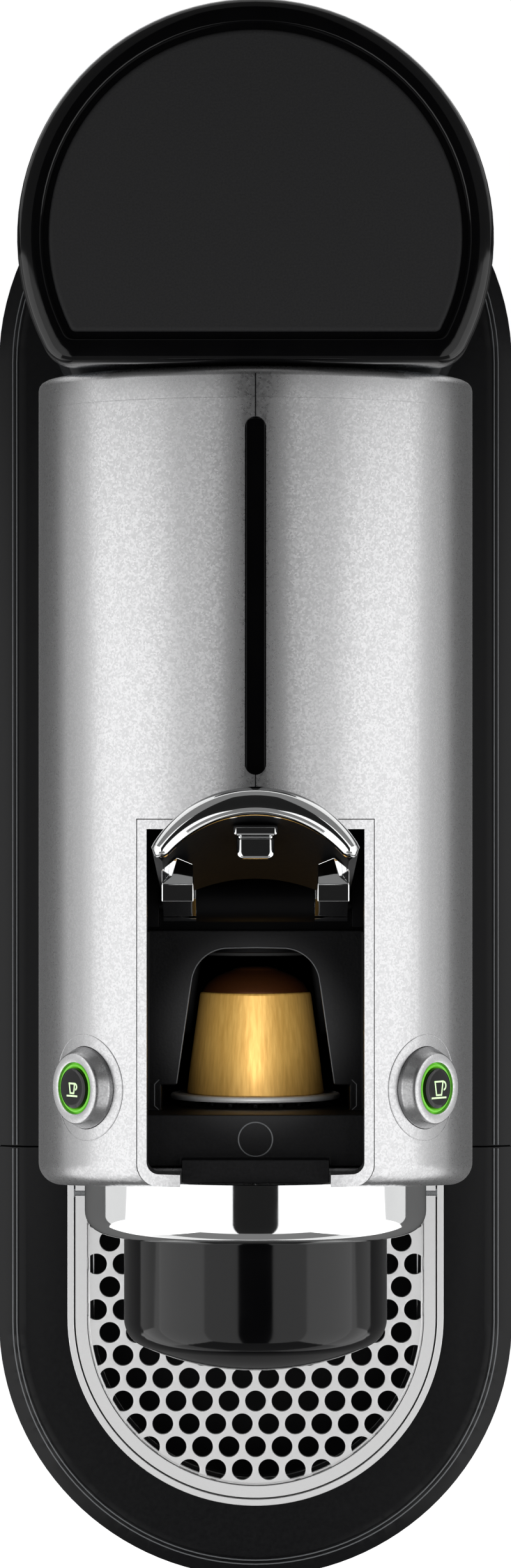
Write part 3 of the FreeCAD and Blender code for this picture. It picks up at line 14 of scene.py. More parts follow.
import bpy
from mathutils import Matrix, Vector

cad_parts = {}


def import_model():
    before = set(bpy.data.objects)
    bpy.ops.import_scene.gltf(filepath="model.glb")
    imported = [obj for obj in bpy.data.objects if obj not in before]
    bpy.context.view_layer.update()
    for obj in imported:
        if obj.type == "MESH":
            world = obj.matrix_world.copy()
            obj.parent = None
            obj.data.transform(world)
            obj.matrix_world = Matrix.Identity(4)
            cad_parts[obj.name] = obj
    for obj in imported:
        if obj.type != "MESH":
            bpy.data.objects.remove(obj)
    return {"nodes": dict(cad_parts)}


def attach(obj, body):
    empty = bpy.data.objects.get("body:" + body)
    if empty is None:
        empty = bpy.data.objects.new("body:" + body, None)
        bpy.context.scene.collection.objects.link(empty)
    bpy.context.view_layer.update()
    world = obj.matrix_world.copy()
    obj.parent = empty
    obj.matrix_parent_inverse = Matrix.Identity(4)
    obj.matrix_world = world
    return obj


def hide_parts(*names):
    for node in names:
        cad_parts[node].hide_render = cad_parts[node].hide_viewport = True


LOG = logging.getLogger("pod_machine")
MM = 0.001
# Distances in metres at which points of a mesh become one, in shaped pieces and in copied solids
WELD = 1e-6
COPY_WELD = 2e-6
# Angle in degrees under which the triangles of a copied solid become one face
COPY_FLAT = 0.5
# Angles in degrees above which an edge stays sharp, in most pieces, lathe work, slabs and thin lines
CREASE = 32
LATHE_CREASE = 40
SLAB_CREASE = 50
LINE_CREASE = 60
# Octaves of the grain's noise, and the part of its range that is spread over both colours
GRAIN_DETAIL = 3.0
GRAIN_LOW = 0.3
GRAIN_HIGH = 0.7
# Sockets of the mix node that serve colours, as its names repeat for other kinds of data
MIX_FACTOR = 0
MIX_FIRST = 6
MIX_SECOND = 7
MIX_RESULT = 2
# Short names of types: a point in plan, a row of points in space and an object of the scene
Point = tuple[float, float]
Path = Sequence[Sequence[float]]
Piece = bpy.types.Object
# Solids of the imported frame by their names
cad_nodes: dict[str, Piece] = {}


class Axis(Enum):
    """Direction about which a piece is turned on the lathe."""

    ALONG = "Y"
    UP = "Z"


def linear(code: str) -> tuple[float, float, float, float]:
    """Turn an sRGB hex colour into linear values.

    Args:
        code: Colour such as "#C8CACC".

    Returns:
        Linear red, green, blue and an alpha of one.
    """
    channels = [int(code[i:i + 2], 16) / 255 for i in (1, 3, 5)]
    values = [c / 12.92 if c <= 0.04045 else ((c + 0.055) / 1.055) ** 2.4 for c in channels]
    return values[0], values[1], values[2], 1.0


def add_node(tree: bpy.types.NodeTree, kind: str, settings: dict | None = None,
             links: dict | None = None) -> bpy.types.Node:
    """Add a shader node with its settings and incoming links.

    Args:
        tree: Node tree of a material.
        kind: Blender's node type.
        settings: Input values by socket name, or node properties by attribute name.
        links: Output sockets by the input name that they feed.

    Returns:
        The new node.
    """
    node = tree.nodes.new(kind)
    for name, value in (settings or {}).items():
        if name in node.inputs:
            node.inputs[name].default_value = value
        else:
            setattr(node, name, value)
    for name, socket in (links or {}).items():
        tree.links.new(socket, node.inputs[name])
    return node


@dataclass(frozen=True)
class Finish:
    """A surface finish: what it is made of and how grain, colour and gloss vary over it.

    Attributes:
        name: Maker's name of the finish.
        colour: Main colour as sRGB hex.
        fleck: Second colour that the grain mixes in, as sRGB hex.
        fleck_share: How much of the second colour shows at most.
        roughness: Middle roughness.
        roughness_swing: How far the grain moves the roughness.
        metallic: One for bare metal.
        grain_mm: Width of the grain.
        bump: Strength of the grain's relief.
        relief_mm: Height of the relief.
        stretch: Scale of the grain along X, Y and Z, for brushed and drawn surfaces.
        ior: Index of refraction of a plastic.
        transmission: Share of light that passes through.
        glow: Emission strength.
        cells: True for flakes instead of soft noise.
    """

    name: str
    colour: str
    fleck: str
    fleck_share: float = 0.3
    roughness: float = 0.4
    roughness_swing: float = 0.06
    metallic: float = 0.0
    grain_mm: float = 0.6
    bump: float = 0.1
    relief_mm: float = 0.05
    stretch: tuple[float, float, float] = (1.0, 1.0, 1.0)
    ior: float = 1.5
    transmission: float = 0.0
    glow: float = 0.0
    cells: bool = False

    def build(self) -> bpy.types.Material:
        """Make the material, or give back the one made before.

        Returns:
            The material of this finish.
        """
        known = bpy.data.materials.get(self.name)
        if known:
            return known
        material = bpy.data.materials.new(self.name)
        material.use_nodes = True
        tree = material.node_tree
        shader = tree.nodes["Principled BSDF"]
        place = add_node(tree, "ShaderNodeTexCoord").outputs["Object"]
        mapping = add_node(tree, "ShaderNodeMapping", {"Scale": self.stretch}, {"Vector": place})
        mapped = {"Vector": mapping.outputs["Vector"]}
        scale = 1 / (self.grain_mm * MM)
        if self.cells:
            flakes = add_node(tree, "ShaderNodeTexVoronoi", {"Scale": scale}, mapped)
            split = add_node(tree, "ShaderNodeSeparateColor", {}, {"Color": flakes.outputs["Color"]})
            level = split.outputs["Red"]
        else:
            noise = add_node(tree, "ShaderNodeTexNoise", {"Scale": scale, "Detail": GRAIN_DETAIL}, mapped)
            level = noise.outputs["Fac"]
        self.tint(tree, shader, level)
        low = self.roughness - self.roughness_swing
        high = self.roughness + self.roughness_swing
        gloss = add_node(tree, "ShaderNodeMapRange", {"To Min": low, "To Max": high}, {"Value": level})
        tree.links.new(gloss.outputs["Result"], shader.inputs["Roughness"])
        depth = {"Strength": self.bump, "Distance": self.relief_mm * MM}
        relief = add_node(tree, "ShaderNodeBump", depth, {"Height": level})
        tree.links.new(relief.outputs["Normal"], shader.inputs["Normal"])
        values = {"Metallic": self.metallic, "IOR": self.ior, "Transmission Weight": self.transmission}
        if self.glow:
            values.update({"Emission Color": linear(self.colour), "Emission Strength": self.glow})
        for name, value in values.items():
            shader.inputs[name].default_value = value
        return material

    def tint(self, tree: bpy.types.NodeTree, shader: bpy.types.Node, level: bpy.types.NodeSocket) -> None:
        """Mix the two colours by the grain.

        Args:
            tree: Node tree of the material.
            shader: Its Principled shader.
            level: Grain value from 0 to 1.
        """
        span = {"From Min": GRAIN_LOW, "From Max": GRAIN_HIGH, "To Min": 0.0, "To Max": self.fleck_share}
        share = add_node(tree, "ShaderNodeMapRange", span, {"Value": level})
        mix = add_node(tree, "ShaderNodeMix", {"data_type": "RGBA"})
        mix.inputs[MIX_FIRST].default_value = linear(self.colour)
        mix.inputs[MIX_SECOND].default_value = linear(self.fleck)
        tree.links.new(share.outputs["Result"], mix.inputs[MIX_FACTOR])
        tree.links.new(mix.outputs[MIX_RESULT], shader.inputs["Base Color"])


# Silver lacquer with aluminium flake: a soft metal sheen with a fine sparkle
SILVER_LACQUER = Finish("silver_flake_lacquer", "#BBBBBC", "#A5A5A6", 0.5, 0.31, 0.05, 0.96, 0.35, 0.05, 0.03,
                        cells=True)
# Polished chrome plate: a mirror with a faint haze
CHROME_PLATE = Finish("polished_chrome_plate", "#F8F9F9", "#ECEDEE", 0.3, 0.05, 0.025, 1.0, 6.0, 0.02, 0.02)
# Satin chrome of the cup support and the tray trim: bright from every side
SATIN_CHROME = Finish("satin_chrome_plate", "#F2F2F2", "#E6E6E6", 0.3, 0.5, 0.05, 1.0, 1.5, 0.05, 0.02)
# High gloss black ABS: deep black with a clean sharp reflection
GLOSS_ABS = Finish("gloss_black_abs", "#060607", "#0C0C0D", 0.4, 0.1, 0.03, 0.0, 8.0, 0.02, 0.02, ior=1.4)
# Spark eroded black ABS: dull, with a fine pebble grain
GRAIN_ABS = Finish("spark_grain_black_abs", "#08080A", "#18181A", 0.5, 0.48, 0.08, 0.0, 0.55, 0.6, 0.08,
                   ior=1.3)
# Satin black ABS of the base and of parts inside: even soft sheen
SATIN_ABS = Finish("satin_black_abs", "#08080A", "#0F1011", 0.5, 0.32, 0.05, 0.0, 0.9, 0.12, 0.03, ior=1.3)
# Dull black ABS kept darker and less glossy than the other blacks: painted shade for the pieces down in the
# bay, in the drip module and under the lever; also the dark seams
SHADE_AND_SEAM_ABS = Finish("shade_and_seam_black_abs", "#020203", "#060607", 0.5, 0.55, 0.06, 0.0, 0.9, 0.1, 0.03, ior=1.2)
# Grained lid panel: dark grey with a fine even grain
LID_GRAIN = Finish("fine_grain_lid_abs", "#252526", "#313132", 0.5, 0.55, 0.06, 0.0, 0.4, 0.4, 0.04, ior=1.3)
# Gold lacquered deep drawn foil: drawn streaks along the pod
GOLD_FOIL = Finish("gold_drawn_foil", "#F6C469", "#CC953F", 0.6, 0.42, 0.08, 0.35, 0.7, 0.5, 0.08,
                   stretch=(1.0, 0.04, 1.0))
# Dark brown on the domed end of the pod: painted shade where it faces the rear under the bay's edge
SHADED_END_FOIL = Finish("shaded_pod_end_foil", "#5A3218", "#472711", 0.4, 0.4, 0.06, 0.6, 0.8, 0.2, 0.04)
# Plain rolled aluminium of the pod's rim, dull enough to catch light in its groove
RIM_FOIL = Finish("rolled_aluminium_foil", "#F2F2F0", "#DDDDDA", 0.3, 0.5, 0.05, 0.35, 0.8, 0.2, 0.04)
# Frosted light guide lit green
GREEN_LAMP = Finish("lit_green_acrylic", "#56A824", "#7CC848", 0.6, 0.4, 0.05, 0.0, 1.2, 0.05, 0.02, glow=0.7)
# Printed mark that the lamp shines through
GREEN_PRINT = Finish("lit_green_print", "#C4DFB0", "#AACB94", 0.3, 0.5, 0.05, 0.0, 0.6, 0.05, 0.01, glow=0.6)
# Smoked clear copolyester of the tank
SMOKE_CLEAR = Finish("smoked_clear_copolyester", "#767A7E", "#70747A", 0.4, 0.06, 0.02, 0.0, 9.0, 0.02, 0.02,
                     ior=1.57, transmission=0.85)
# Moulded rubber: dull and slightly dusty
RUBBER = Finish("moulded_black_rubber", "#1B1B1B", "#2B2B2A", 0.5, 0.75, 0.08, 0.0, 0.8, 0.3, 0.05)
# Stamped stainless steel
STEEL = Finish("stamped_stainless_steel", "#A9ABAD", "#8E9092", 0.4, 0.28, 0.06, 1.0, 0.5, 0.15, 0.03)
# Steel with a black oxide skin
BLACK_STEEL = Finish("black_oxide_steel", "#151516", "#1E1E20", 0.4, 0.35, 0.06, 0.6, 0.6, 0.15, 0.03)
# Die cast aluminium: dull with a cast skin
CAST = Finish("die_cast_aluminium", "#9A9C9E", "#808284", 0.5, 0.5, 0.08, 1.0, 0.9, 0.35, 0.06)
# Circuit board lacquer
BOARD = Finish("green_solder_mask", "#1F5A33", "#174827", 0.5, 0.35, 0.05, 0.0, 1.5, 0.1, 0.03)
# Silicone hose: milky and soft
SILICONE = Finish("milky_silicone", "#D9D8D2", "#C6C5BE", 0.4, 0.45, 0.06, 0.0, 1.5, 0.1, 0.03)
# Thin pale line drawn along a moulded edge: painted highlight where the edge catches light
EDGE_HIGHLIGHT = Finish("painted_edge_highlight", "#6B6D6F", "#5A5C5E", 0.4, 0.4, 0.05, 0.2, 0.6, 0.05, 0.01)
# White seamless paper of the studio floor
PAPER = Finish("studio_paper", "#FFFFFF", "#FAFAFA", 0.3, 0.9, 0.02, 0.0, 4.0, 0.0, glow=0.65)
# Grey cloth of the sheets that show in reflections only
TABLE = Finish("grey_cloth", "#6A6A6A", "#646464", 0.3, 0.95, 0.02, 0.0, 4.0, 0.0)
# Black card above the camera that keeps the middle of the chrome dark
FLAG = Finish("black_card", "#050505", "#080808", 0.3, 0.95, 0.02, 0.0, 4.0, 0.0)


def deselect() -> None:
    """Leave edit mode and deselect everything."""
    if bpy.context.object and bpy.context.object.mode != "OBJECT":
        bpy.ops.object.mode_set(mode="OBJECT")
    bpy.ops.object.select_all(action="DESELECT")


def take(piece: Piece) -> None:
    """Make one object the only selected and active one."""
    deselect()
    piece.select_set(True)
    bpy.context.view_layer.objects.active = piece


def edit(piece: Piece) -> None:
    """Open the mesh of a piece with all of it selected."""
    take(piece)
    bpy.ops.object.mode_set(mode="EDIT")
    bpy.ops.mesh.select_all(action="SELECT")


def ring(name: str, points: Sequence[Vector], filled: bool) -> Piece:
    """Add a circle and move its points onto an outline.

    Args:
        name: Name of the new object.
        points: Outline points in millimetres, in order.
        filled: True for a face inside the outline.

    Returns:
        The new object, with its place in its mesh.
    """
    deselect()
    fill = "NGON" if filled else "NOTHING"
    bpy.ops.mesh.primitive_circle_add(vertices=len(points), radius=MM, fill_type=fill)
    piece = bpy.context.object
    piece.name = name
    for vertex, point in zip(piece.data.vertices, points):
        vertex.co = Vector(point) * MM
    return piece


def slab(name: str, outline: Sequence[Point], low: float, high: float,
         terraces: Sequence[Point] = ()) -> Piece:
    """Extrude a level outline and shape its top by insets.

    Args:
        name: Name of the new object.
        outline: Outline in plan, counter-clockwise.
        low: Height of the underside.
        high: Height of the top before the terraces.
        terraces: Steps of (inset, rise) that shape the top.

    Returns:
        The closed piece.
    """
    piece = ring(name, [Vector((x, y, low)) for x, y in outline], True)
    edit(piece)
    bpy.ops.mesh.extrude_region_move(TRANSFORM_OT_translate={"value": (0, 0, (high - low) * MM)})
    for inset, rise in terraces:
        bpy.ops.mesh.inset(thickness=inset * MM, depth=0, use_even_offset=True)
        if rise:
            bpy.ops.transform.translate(value=(0, 0, rise * MM))
    close()
    return piece


def close() -> None:
    """Merge doubles, turn the faces outwards and leave edit mode."""
    bpy.ops.mesh.select_all(action="SELECT")
    bpy.ops.mesh.remove_doubles(threshold=WELD)
    bpy.ops.mesh.normals_make_consistent(inside=False)
    bpy.ops.object.mode_set(mode="OBJECT")


def turned(name: str, profile: Sequence[Point], centre: Sequence[float], axis: Axis, hollow: bool = False,
           sides: int = 96) -> Piece:
    """Turn a profile on the lathe.

    Args:
        name: Name of the new object.
        profile: Points of (place along the axis, radius), from one end to the other.
        centre: Point on the axis from which the places count.
        axis: Direction of the axis.
        hollow: True where the profile closes on itself round a bore.
        sides: Number of sides.

    Returns:
        The closed piece.
    """
    origin = Vector(centre)
    start, radius = profile[0]
    points = []
    for index in range(sides):
        angle = 2 * math.pi * index / sides
        across, other = radius * math.cos(angle), radius * math.sin(angle)
        offset = (across, start, other) if axis is Axis.ALONG else (across, other, start)
        points.append(origin + Vector(offset))
    piece = ring(name, points, False)
    edit(piece)
    if not hollow:
        bpy.ops.mesh.edge_face_add()
        bpy.ops.mesh.select_all(action="SELECT")
    for (before, r_before), (after, r_after) in zip(profile, profile[1:]):
        lathe_step(origin, axis, after - before, r_after / r_before, after)
    if hollow:
        bpy.ops.mesh.select_all(action="DESELECT")
        bpy.ops.mesh.select_non_manifold()
        bpy.ops.mesh.bridge_edge_loops()
    else:
        bpy.ops.mesh.edge_face_add()
    close()
    return piece


def lathe_step(origin: Vector, axis: Axis, travel: float, scale: float, place: float) -> None:
    """Extrude the selected ring one step along the axis and scale it to the next radius."""
    along = Vector((0, 1, 0)) if axis is Axis.ALONG else Vector((0, 0, 1))
    bpy.ops.mesh.extrude_edges_move(TRANSFORM_OT_translate={"value": along * travel * MM})
    value = (scale, 1, scale) if axis is Axis.ALONG else (scale, scale, 1)
    bpy.ops.transform.resize(value=value, center_override=(origin + along * place) * MM)


def loft(name: str, rings: Sequence[Path]) -> Piece:
    """Lay a grid over rings of points, one row for each ring, and close its ends.

    Args:
        name: Name of the new object.
        rings: Rings with the same number of points each, in millimetres.

    Returns:
        The closed piece.
    """
    deselect()
    across = len(rings[0])
    bpy.ops.mesh.primitive_grid_add(x_subdivisions=across, y_subdivisions=len(rings) - 1, size=MM)
    piece = bpy.context.object
    piece.name = name
    for row, points in enumerate(rings):
        for column in range(across + 1):
            spot = piece.data.vertices[row * (across + 1) + column]
            spot.co = Vector(points[column % across]) * MM
    edit(piece)
    bpy.ops.mesh.remove_doubles(threshold=WELD)
    bpy.ops.mesh.select_all(action="SELECT")
    bpy.ops.mesh.fill_holes(sides=0)
    close()
    return piece


def tube(name: str, path: Path, sizes: Sequence[Point], closed: bool = False, sides: int = 12) -> Piece:
    """Sweep an upright oval along a level path.

    Args:
        name: Name of the new object.
        path: Points of the path in millimetres.
        sizes: Half width and half height of the oval at each point, or one pair for all.
        closed: True where the path returns to its start.
        sides: Points of the oval.

    Returns:
        The closed piece.
    """
    count = len(path)
    rings = []
    for index, spot in enumerate(path):
        before = path[(index - 1) % count] if closed or index else path[0]
        after = path[(index + 1) % count] if closed or index < count - 1 else path[-1]
        heading = (Vector(after) - Vector(before)).normalized()
        aside = Vector((heading.y, -heading.x, 0))
        wide, high = sizes[index] if len(sizes) > 1 else sizes[0]
        turns = [2 * math.pi * k / sides for k in range(sides)]
        rings.append([Vector(spot) + aside * wide * math.cos(t) + Vector((0, 0, high * math.sin(t)))
                      for t in turns])
    if closed:
        rings.append(rings[0])
    return loft(name, rings)


def facets(name: str, points: Path, middle: Sequence[float], drop: float) -> Piece:
    """Make a faceted block from a fan of triangles round a middle point.

    Args:
        name: Name of the new object.
        points: Rim of the fan in millimetres, in order.
        middle: Middle point of the fan.
        drop: Depth of the block below the fan.

    Returns:
        The closed piece.
    """
    deselect()
    bpy.ops.mesh.primitive_circle_add(vertices=len(points), radius=MM, fill_type="TRIFAN")
    piece = bpy.context.object
    piece.name = name
    rim = [vertex for vertex in piece.data.vertices if vertex.co.length > MM / 2]
    hub = next(vertex for vertex in piece.data.vertices if vertex.co.length < MM / 2)
    hub.co = Vector(middle) * MM
    for vertex, point in zip(rim, points):
        vertex.co = Vector(point) * MM
    edit(piece)
    bpy.ops.mesh.extrude_region_move(TRANSFORM_OT_translate={"value": (0, 0, -drop * MM)})
    close()
    return piece


def modify(piece: Piece, kind: str, **settings: object) -> None:
    """Add a modifier with its settings and apply it."""
    take(piece)
    modifier = piece.modifiers.new(kind.lower(), kind)
    for name, value in settings.items():
        setattr(modifier, name, value)
    bpy.ops.object.modifier_apply(modifier=modifier.name)


def soften(piece: Piece, width: float, segments: int = 3, angle: float = 30) -> None:
    """Round the edges of a piece that are sharper than an angle in degrees, by a width in millimetres."""
    modify(piece, "BEVEL", width=width * MM, segments=segments, limit_method="ANGLE",
           angle_limit=math.radians(angle), harden_normals=False, use_clamp_overlap=True)


def cut(piece: Piece, cutter: Piece) -> None:
    """Cut a piece with another one, which is used up."""
    modify(piece, "BOOLEAN", operation="DIFFERENCE", object=cutter, solver="EXACT")
    bpy.data.objects.remove(cutter)


def smooth(piece: Piece, angle: float) -> None:
    """Shade a piece smooth, with edges above an angle kept sharp."""
    take(piece)
    bpy.ops.object.shade_smooth_by_angle(angle=math.radians(angle))
    modify(piece, "WEIGHTED_NORMAL", keep_sharp=True)


def join(name: str, pieces: Sequence[Piece]) -> Piece:
    """Join pieces into one object."""
    deselect()
    for piece in pieces:
        piece.select_set(True)
    bpy.context.view_layer.objects.active = pieces[0]
    bpy.ops.object.join()
    pieces[0].name = name
    return pieces[0]


def copy_of(node: str) -> Piece:
    """Copy a solid of the frame, with its triangles joined up.

    Args:
        node: Name of the solid.

    Returns:
        A free copy whose mesh may be shaped.
    """
    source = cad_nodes[node]
    piece = bpy.data.objects.new(node + "_skin", source.data.copy())
    bpy.context.scene.collection.objects.link(piece)
    take(piece)
    bpy.ops.mesh.customdata_custom_splitnormals_clear()
    edit(piece)
    bpy.ops.mesh.remove_doubles(threshold=COPY_WELD)
    bpy.ops.mesh.dissolve_limited(angle_limit=math.radians(COPY_FLAT))
    bpy.ops.object.mode_set(mode="OBJECT")
    return piece


def dress(piece: Piece, finish: Finish, body: str, slot: str, *nodes: str) -> None:
    """Give a finished piece its material, its body and the solids that it stands for.

    Args:
        piece: The finished piece.
        finish: Its surface finish.
        body: Body of the frame that it rides on.
        slot: Material slot of the record; not used.
        nodes: Solids that it replaces.
    """
    take(piece)
    bpy.ops.object.transform_apply(location=True, rotation=True, scale=True)
    piece.data.materials.clear()
    piece.data.materials.append(finish.build())
    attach(piece, body)
    if nodes:
        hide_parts(*nodes)
    LOG.info("dressed %s", piece.name)


def polish(piece: Piece, crease: float, *looks: Finish | str) -> None:
    """Smooth a shaped piece up to a crease in degrees and dress it with the looks that dress takes."""
    smooth(piece, crease)
    dress(piece, *looks)


def skin(node: str, finish: Finish, body: str, slot: str, edge: float, segments: int = 2,
         sharp: float = 30) -> None:
    """Copy a solid, round its edges and dress it.

    Args:
        node: Name of the solid.
        finish: Surface finish.
        body: Body that it rides on.
        slot: Material slot of the record.
        edge: Width of the rounding in millimetres.
        segments: Segments of the rounding.
        sharp: Edges sharper than this, in degrees, are rounded.
    """
    piece = copy_of(node)
    soften(piece, edge, segments, sharp)
    polish(piece, CREASE, finish, body, slot, node)


def repaint(finish: Finish, *nodes: str) -> None:
    """Give solids of the frame a finish and leave their meshes as they are.

    Args:
        finish: Their surface finish.
        nodes: Names of the solids.
    """
    material = finish.build()
    for node in nodes:
        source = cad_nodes[node]
        for place in source.material_slots:
            place.material = material
        if not source.material_slots:
            source.data.materials.append(material)
        LOG.info("painted %s", node)


def draw_line(name: str, path: Path, size: Point, *looks: Finish | str,
              closed: bool = False, sides: int = 6) -> None:
    """Sweep a thin line of a half width and half height along a path and dress it with the looks."""
    polish(tube(name, path, [size], closed, sides), LINE_CREASE, *looks)


def arc(centre: Point, radius: float, start: float, end: float, steps: int) -> list[Point]:
    """Points along an arc between two angles in degrees, both ends included."""
    turns = [math.radians(start + (end - start) * i / steps) for i in range(steps + 1)]
    return [(centre[0] + radius * math.cos(t), centre[1] + radius * math.sin(t)) for t in turns]


def raised(outline: Sequence[Point], height: float) -> list[tuple[float, float, float]]:
    """Points of an outline in plan, lifted to a height."""
    return [(x, y, height) for x, y in outline]


def capsule_outline(half: float, front: float, rear_centre: float) -> list[Point]:
    """Outline with a straight front and a round rear end, counter-clockwise."""
    return [(-half, front), (half, front)] + arc((0, rear_centre), half, 0, 180, 48)


def tray_outline(half: float, centre: float, rear: float) -> list[Point]:
    """Outline with a round front end and a straight rear, counter-clockwise."""
    return [(half, rear), (-half, rear)] + arc((0, centre), half, 180, 360, 64)


def tank_outline(radius: float, centre: float, front: float, corner: float) -> list[Point]:
    """Circle with a flat front and rounded corners.

    Args:
        radius: Radius of the circle.
        centre: Its centre on the Y axis.
        front: Place of the flat front.
        corner: Radius of the two corners.

    Returns:
        The outline, counter-clockwise.
    """
    corner_y = front + corner
    corner_x = math.sqrt((radius - corner) ** 2 - (corner_y - centre) ** 2)
    meet = math.degrees(math.atan2(corner_y - centre, corner_x))
    right = arc((corner_x, corner_y), corner, -90, meet, 10)
    round_end = arc((0, centre), radius, meet, 180 - meet, 64)[1:-1]
    left = [(-x, y) for x, y in reversed(right)]
    return right + round_end + left


@dataclass
class Foot:
    """Measures that the base and the drip module share, with the two pale lines along their edges, painted
    highlights of the steps.
    """

    half: float = 65.0
    end_centre: float = 121.0
    top: float = 50.0
    lines: tuple[tuple[str, float], ...] = (("outer", 3.7), ("inner", 4.7))
    line_size: Point = (0.16, 0.14)

    def step_highlight(self, name: str, outline: list[Point], body: str) -> None:
        """Draw one pale line along an outline, a painted highlight of the step's edge, open between its first
        two points.
        """
        path = raised(outline[1:] + outline[:1], self.top)
        # The line's pale colour is painted highlight of the edge, not a colour of the black plastic
        draw_line(name, path, self.line_size, EDGE_HIGHLIGHT, body, "black_matte")


@dataclass
class Base(Foot):
    """Long base under the tower and the tank, with the plate, feet, screws and gland below."""

    front: float = -76.4

    def build(self) -> None:
        """Dress the base's own solids."""
        skin("base_shell", SATIN_ABS, "housing", "black_matte", 0.4, 2, 25)
        for label, inset in self.lines:
            outline = capsule_outline(self.half - inset, self.front, self.end_centre)
            self.step_highlight("base_%s_step_line" % label, outline, "housing")
        repaint(SATIN_ABS, "base_plate", "tank_coupling")
        repaint(RUBBER, "rubber_feet", "cord_gland")
        repaint(STEEL, "base_screws")


@dataclass
class DripModule(Foot):
    """Slide-out front end with bowl, chrome trim, feet, hinge pins and the capsule container."""

    body: str = "drip_module"
    rear: float = -77.3

    def build(self) -> None:
        """Dress the module and its fittings."""
        skin("drip_housing", SATIN_ABS, self.body, "black_matte", 0.5)
        for label, inset in self.lines:
            outline = tray_outline(self.half - inset, -self.end_centre, self.rear)
            self.step_highlight("module_%s_step_line" % label, outline, self.body)
        skin("drip_bowl", SATIN_ABS, self.body, "black_matte", 0.3)
        skin("tray_trim", SATIN_CHROME, self.body, "chrome", 0.7, 4)
        skin("capsule_container", SHADE_AND_SEAM_ABS, self.body, "black_gloss", 0.6)
        repaint(RUBBER, "module_feet")
        repaint(STEEL, "cup_hinge_pins")


@dataclass
class CupSupport:
    """Folding chrome frame with the perforated plate for a cup, which lies on a thin black strip, painted
    shade that keeps the holes at its edge dark.
    """

    body: str = "cup_support"
    half: float = 42.4
    centre: float = -120.0
    rear: float = -89.1
    low: float = 47.5
    thickness: float = 1.8
    hole: float = 2.65
    pitch: float = 6.7
    first_row: float = -158.5
    row_pitch: float = 5.77
    rows: int = 12
    columns: int = 7
    edge: float = 0.05
    shade_strip_play: float = 0.05
    shade_strip_lift: float = 0.02
    shade_strip_size: Point = (0.74, 0.03)
    rim_drop: float = 0.4
    rim_size: Point = (0.35, 0.45)

    def build(self) -> None:
        """Dress the frame, punch the plate and lay its painted shade strip and its rim."""
        skin("cup_frame", SATIN_CHROME, self.body, "chrome", 1.1, 5)
        high = self.low + self.thickness
        plate = slab("cup_grid_plate", self.outline(0.0), self.low, high)
        cut(plate, join("punches", [self.punch(*place) for place in self.places()]))
        modify(plate, "TRIANGULATE")
        soften(plate, 0.4, 3, 40)
        polish(plate, CREASE, SATIN_CHROME, self.body, "chrome", "cup_grid")
        # Thin black strip under the plate's edge: painted shade for the holes above it
        shade_strip = raised(self.outline(self.shade_strip_size[0] + self.shade_strip_play), self.low + self.shade_strip_lift)
        draw_line("cup_grid_seat", shade_strip, self.shade_strip_size, SHADE_AND_SEAM_ABS, self.body, "chrome", closed=True, sides=8)
        rim = raised(self.outline(self.rim_size[0]), high - self.rim_drop)
        draw_line("cup_grid_rim", rim, self.rim_size, SATIN_CHROME, self.body, "chrome", "cup_grid",
                  closed=True, sides=12)

    def outline(self, inset: float) -> list[Point]:
        """Outline of the plate, drawn in by an inset."""
        return tray_outline(self.half - inset, self.centre, self.rear - inset)

    def places(self) -> list[Point]:
        """Middle of every hole: staggered rows that run into the edge."""
        found = []
        for row in range(self.rows):
            y = self.first_row + row * self.row_pitch
            depth = min(y - self.centre, 0.0)
            shift = 0.5 * ((row + 1) % 2)
            for column in range(-self.columns, self.columns):
                x = self.pitch * (column + shift)
                if math.hypot(x, depth) < self.half - self.edge and y < self.rear - self.hole:
                    found.append((x, y))
        return found

    def punch(self, x: float, y: float) -> Piece:
        """Add one punch that cuts a hole.

        Args:
            x: Middle of the hole along X.
            y: Middle along Y.

        Returns:
            The punch.
        """
        deselect()
        place = Vector((x, y, self.low + self.thickness / 2)) * MM
        bpy.ops.mesh.primitive_cylinder_add(vertices=40, radius=self.hole * MM, depth=3 * self.thickness * MM,
                                            location=place)
        return bpy.context.object


@dataclass
class WaterTank:
    """Smoked tank with its valve and the gloss lid with a grained panel."""

    centre: float = 128.4
    radius: float = 49.6
    front: float = 102.0
    corner: float = 7.0
    least_corner: float = 1.5
    top: float = 277.0
    height: float = 13.0
    panel_inset: float = 6.6
    panel_foot: float = 2.0
    panel_drop: float = 1.05
    skirt_inset: float = 3.8
    skirt_drop: float = 4.0
    skirt_lap: float = 0.1

    def outline(self, inset: float) -> list[Point]:
        """Outline of the lid, drawn in by an inset."""
        corner = max(self.corner - inset, self.least_corner)
        return tank_outline(self.radius - inset, self.centre, self.front + inset, corner)

    def build(self) -> None:
        """Shape the lid and dress the tank."""
        skin("water_tank", SMOKE_CLEAR, "tank", "smoke_clear", 0.4)
        repaint(SATIN_ABS, "tank_valve")
        low = self.top - self.height
        roll = [(0.35, 0.9), (0.65, 0.75), (0.95, 0.55), (1.1, 0.25)]
        channel = [(1.6, 0.0), (0.35, -0.15), (0.3, -0.9), (0.9, 0.0)]
        crown = [(0.25, 0.25), (0.35, 0.15), (0.5, 0.05)]
        rise = sum(step[1] for step in roll)
        lid = slab("tank_lid_rim", self.outline(0.0), low, self.top - rise, roll + channel)
        panel = slab("tank_lid_panel", self.outline(self.panel_inset), self.top - self.panel_foot,
                     self.top - self.panel_drop, crown)
        skirt = slab("tank_lid_skirt", self.outline(self.skirt_inset), low - self.skirt_drop,
                     low + self.skirt_lap)
        for piece, crease, finish in ((lid, SLAB_CREASE, GLOSS_ABS), (panel, SLAB_CREASE, LID_GRAIN),
                                      (skirt, CREASE, SATIN_ABS)):
            polish(piece, crease, finish, "lid", "black_gloss", "tank_lid")


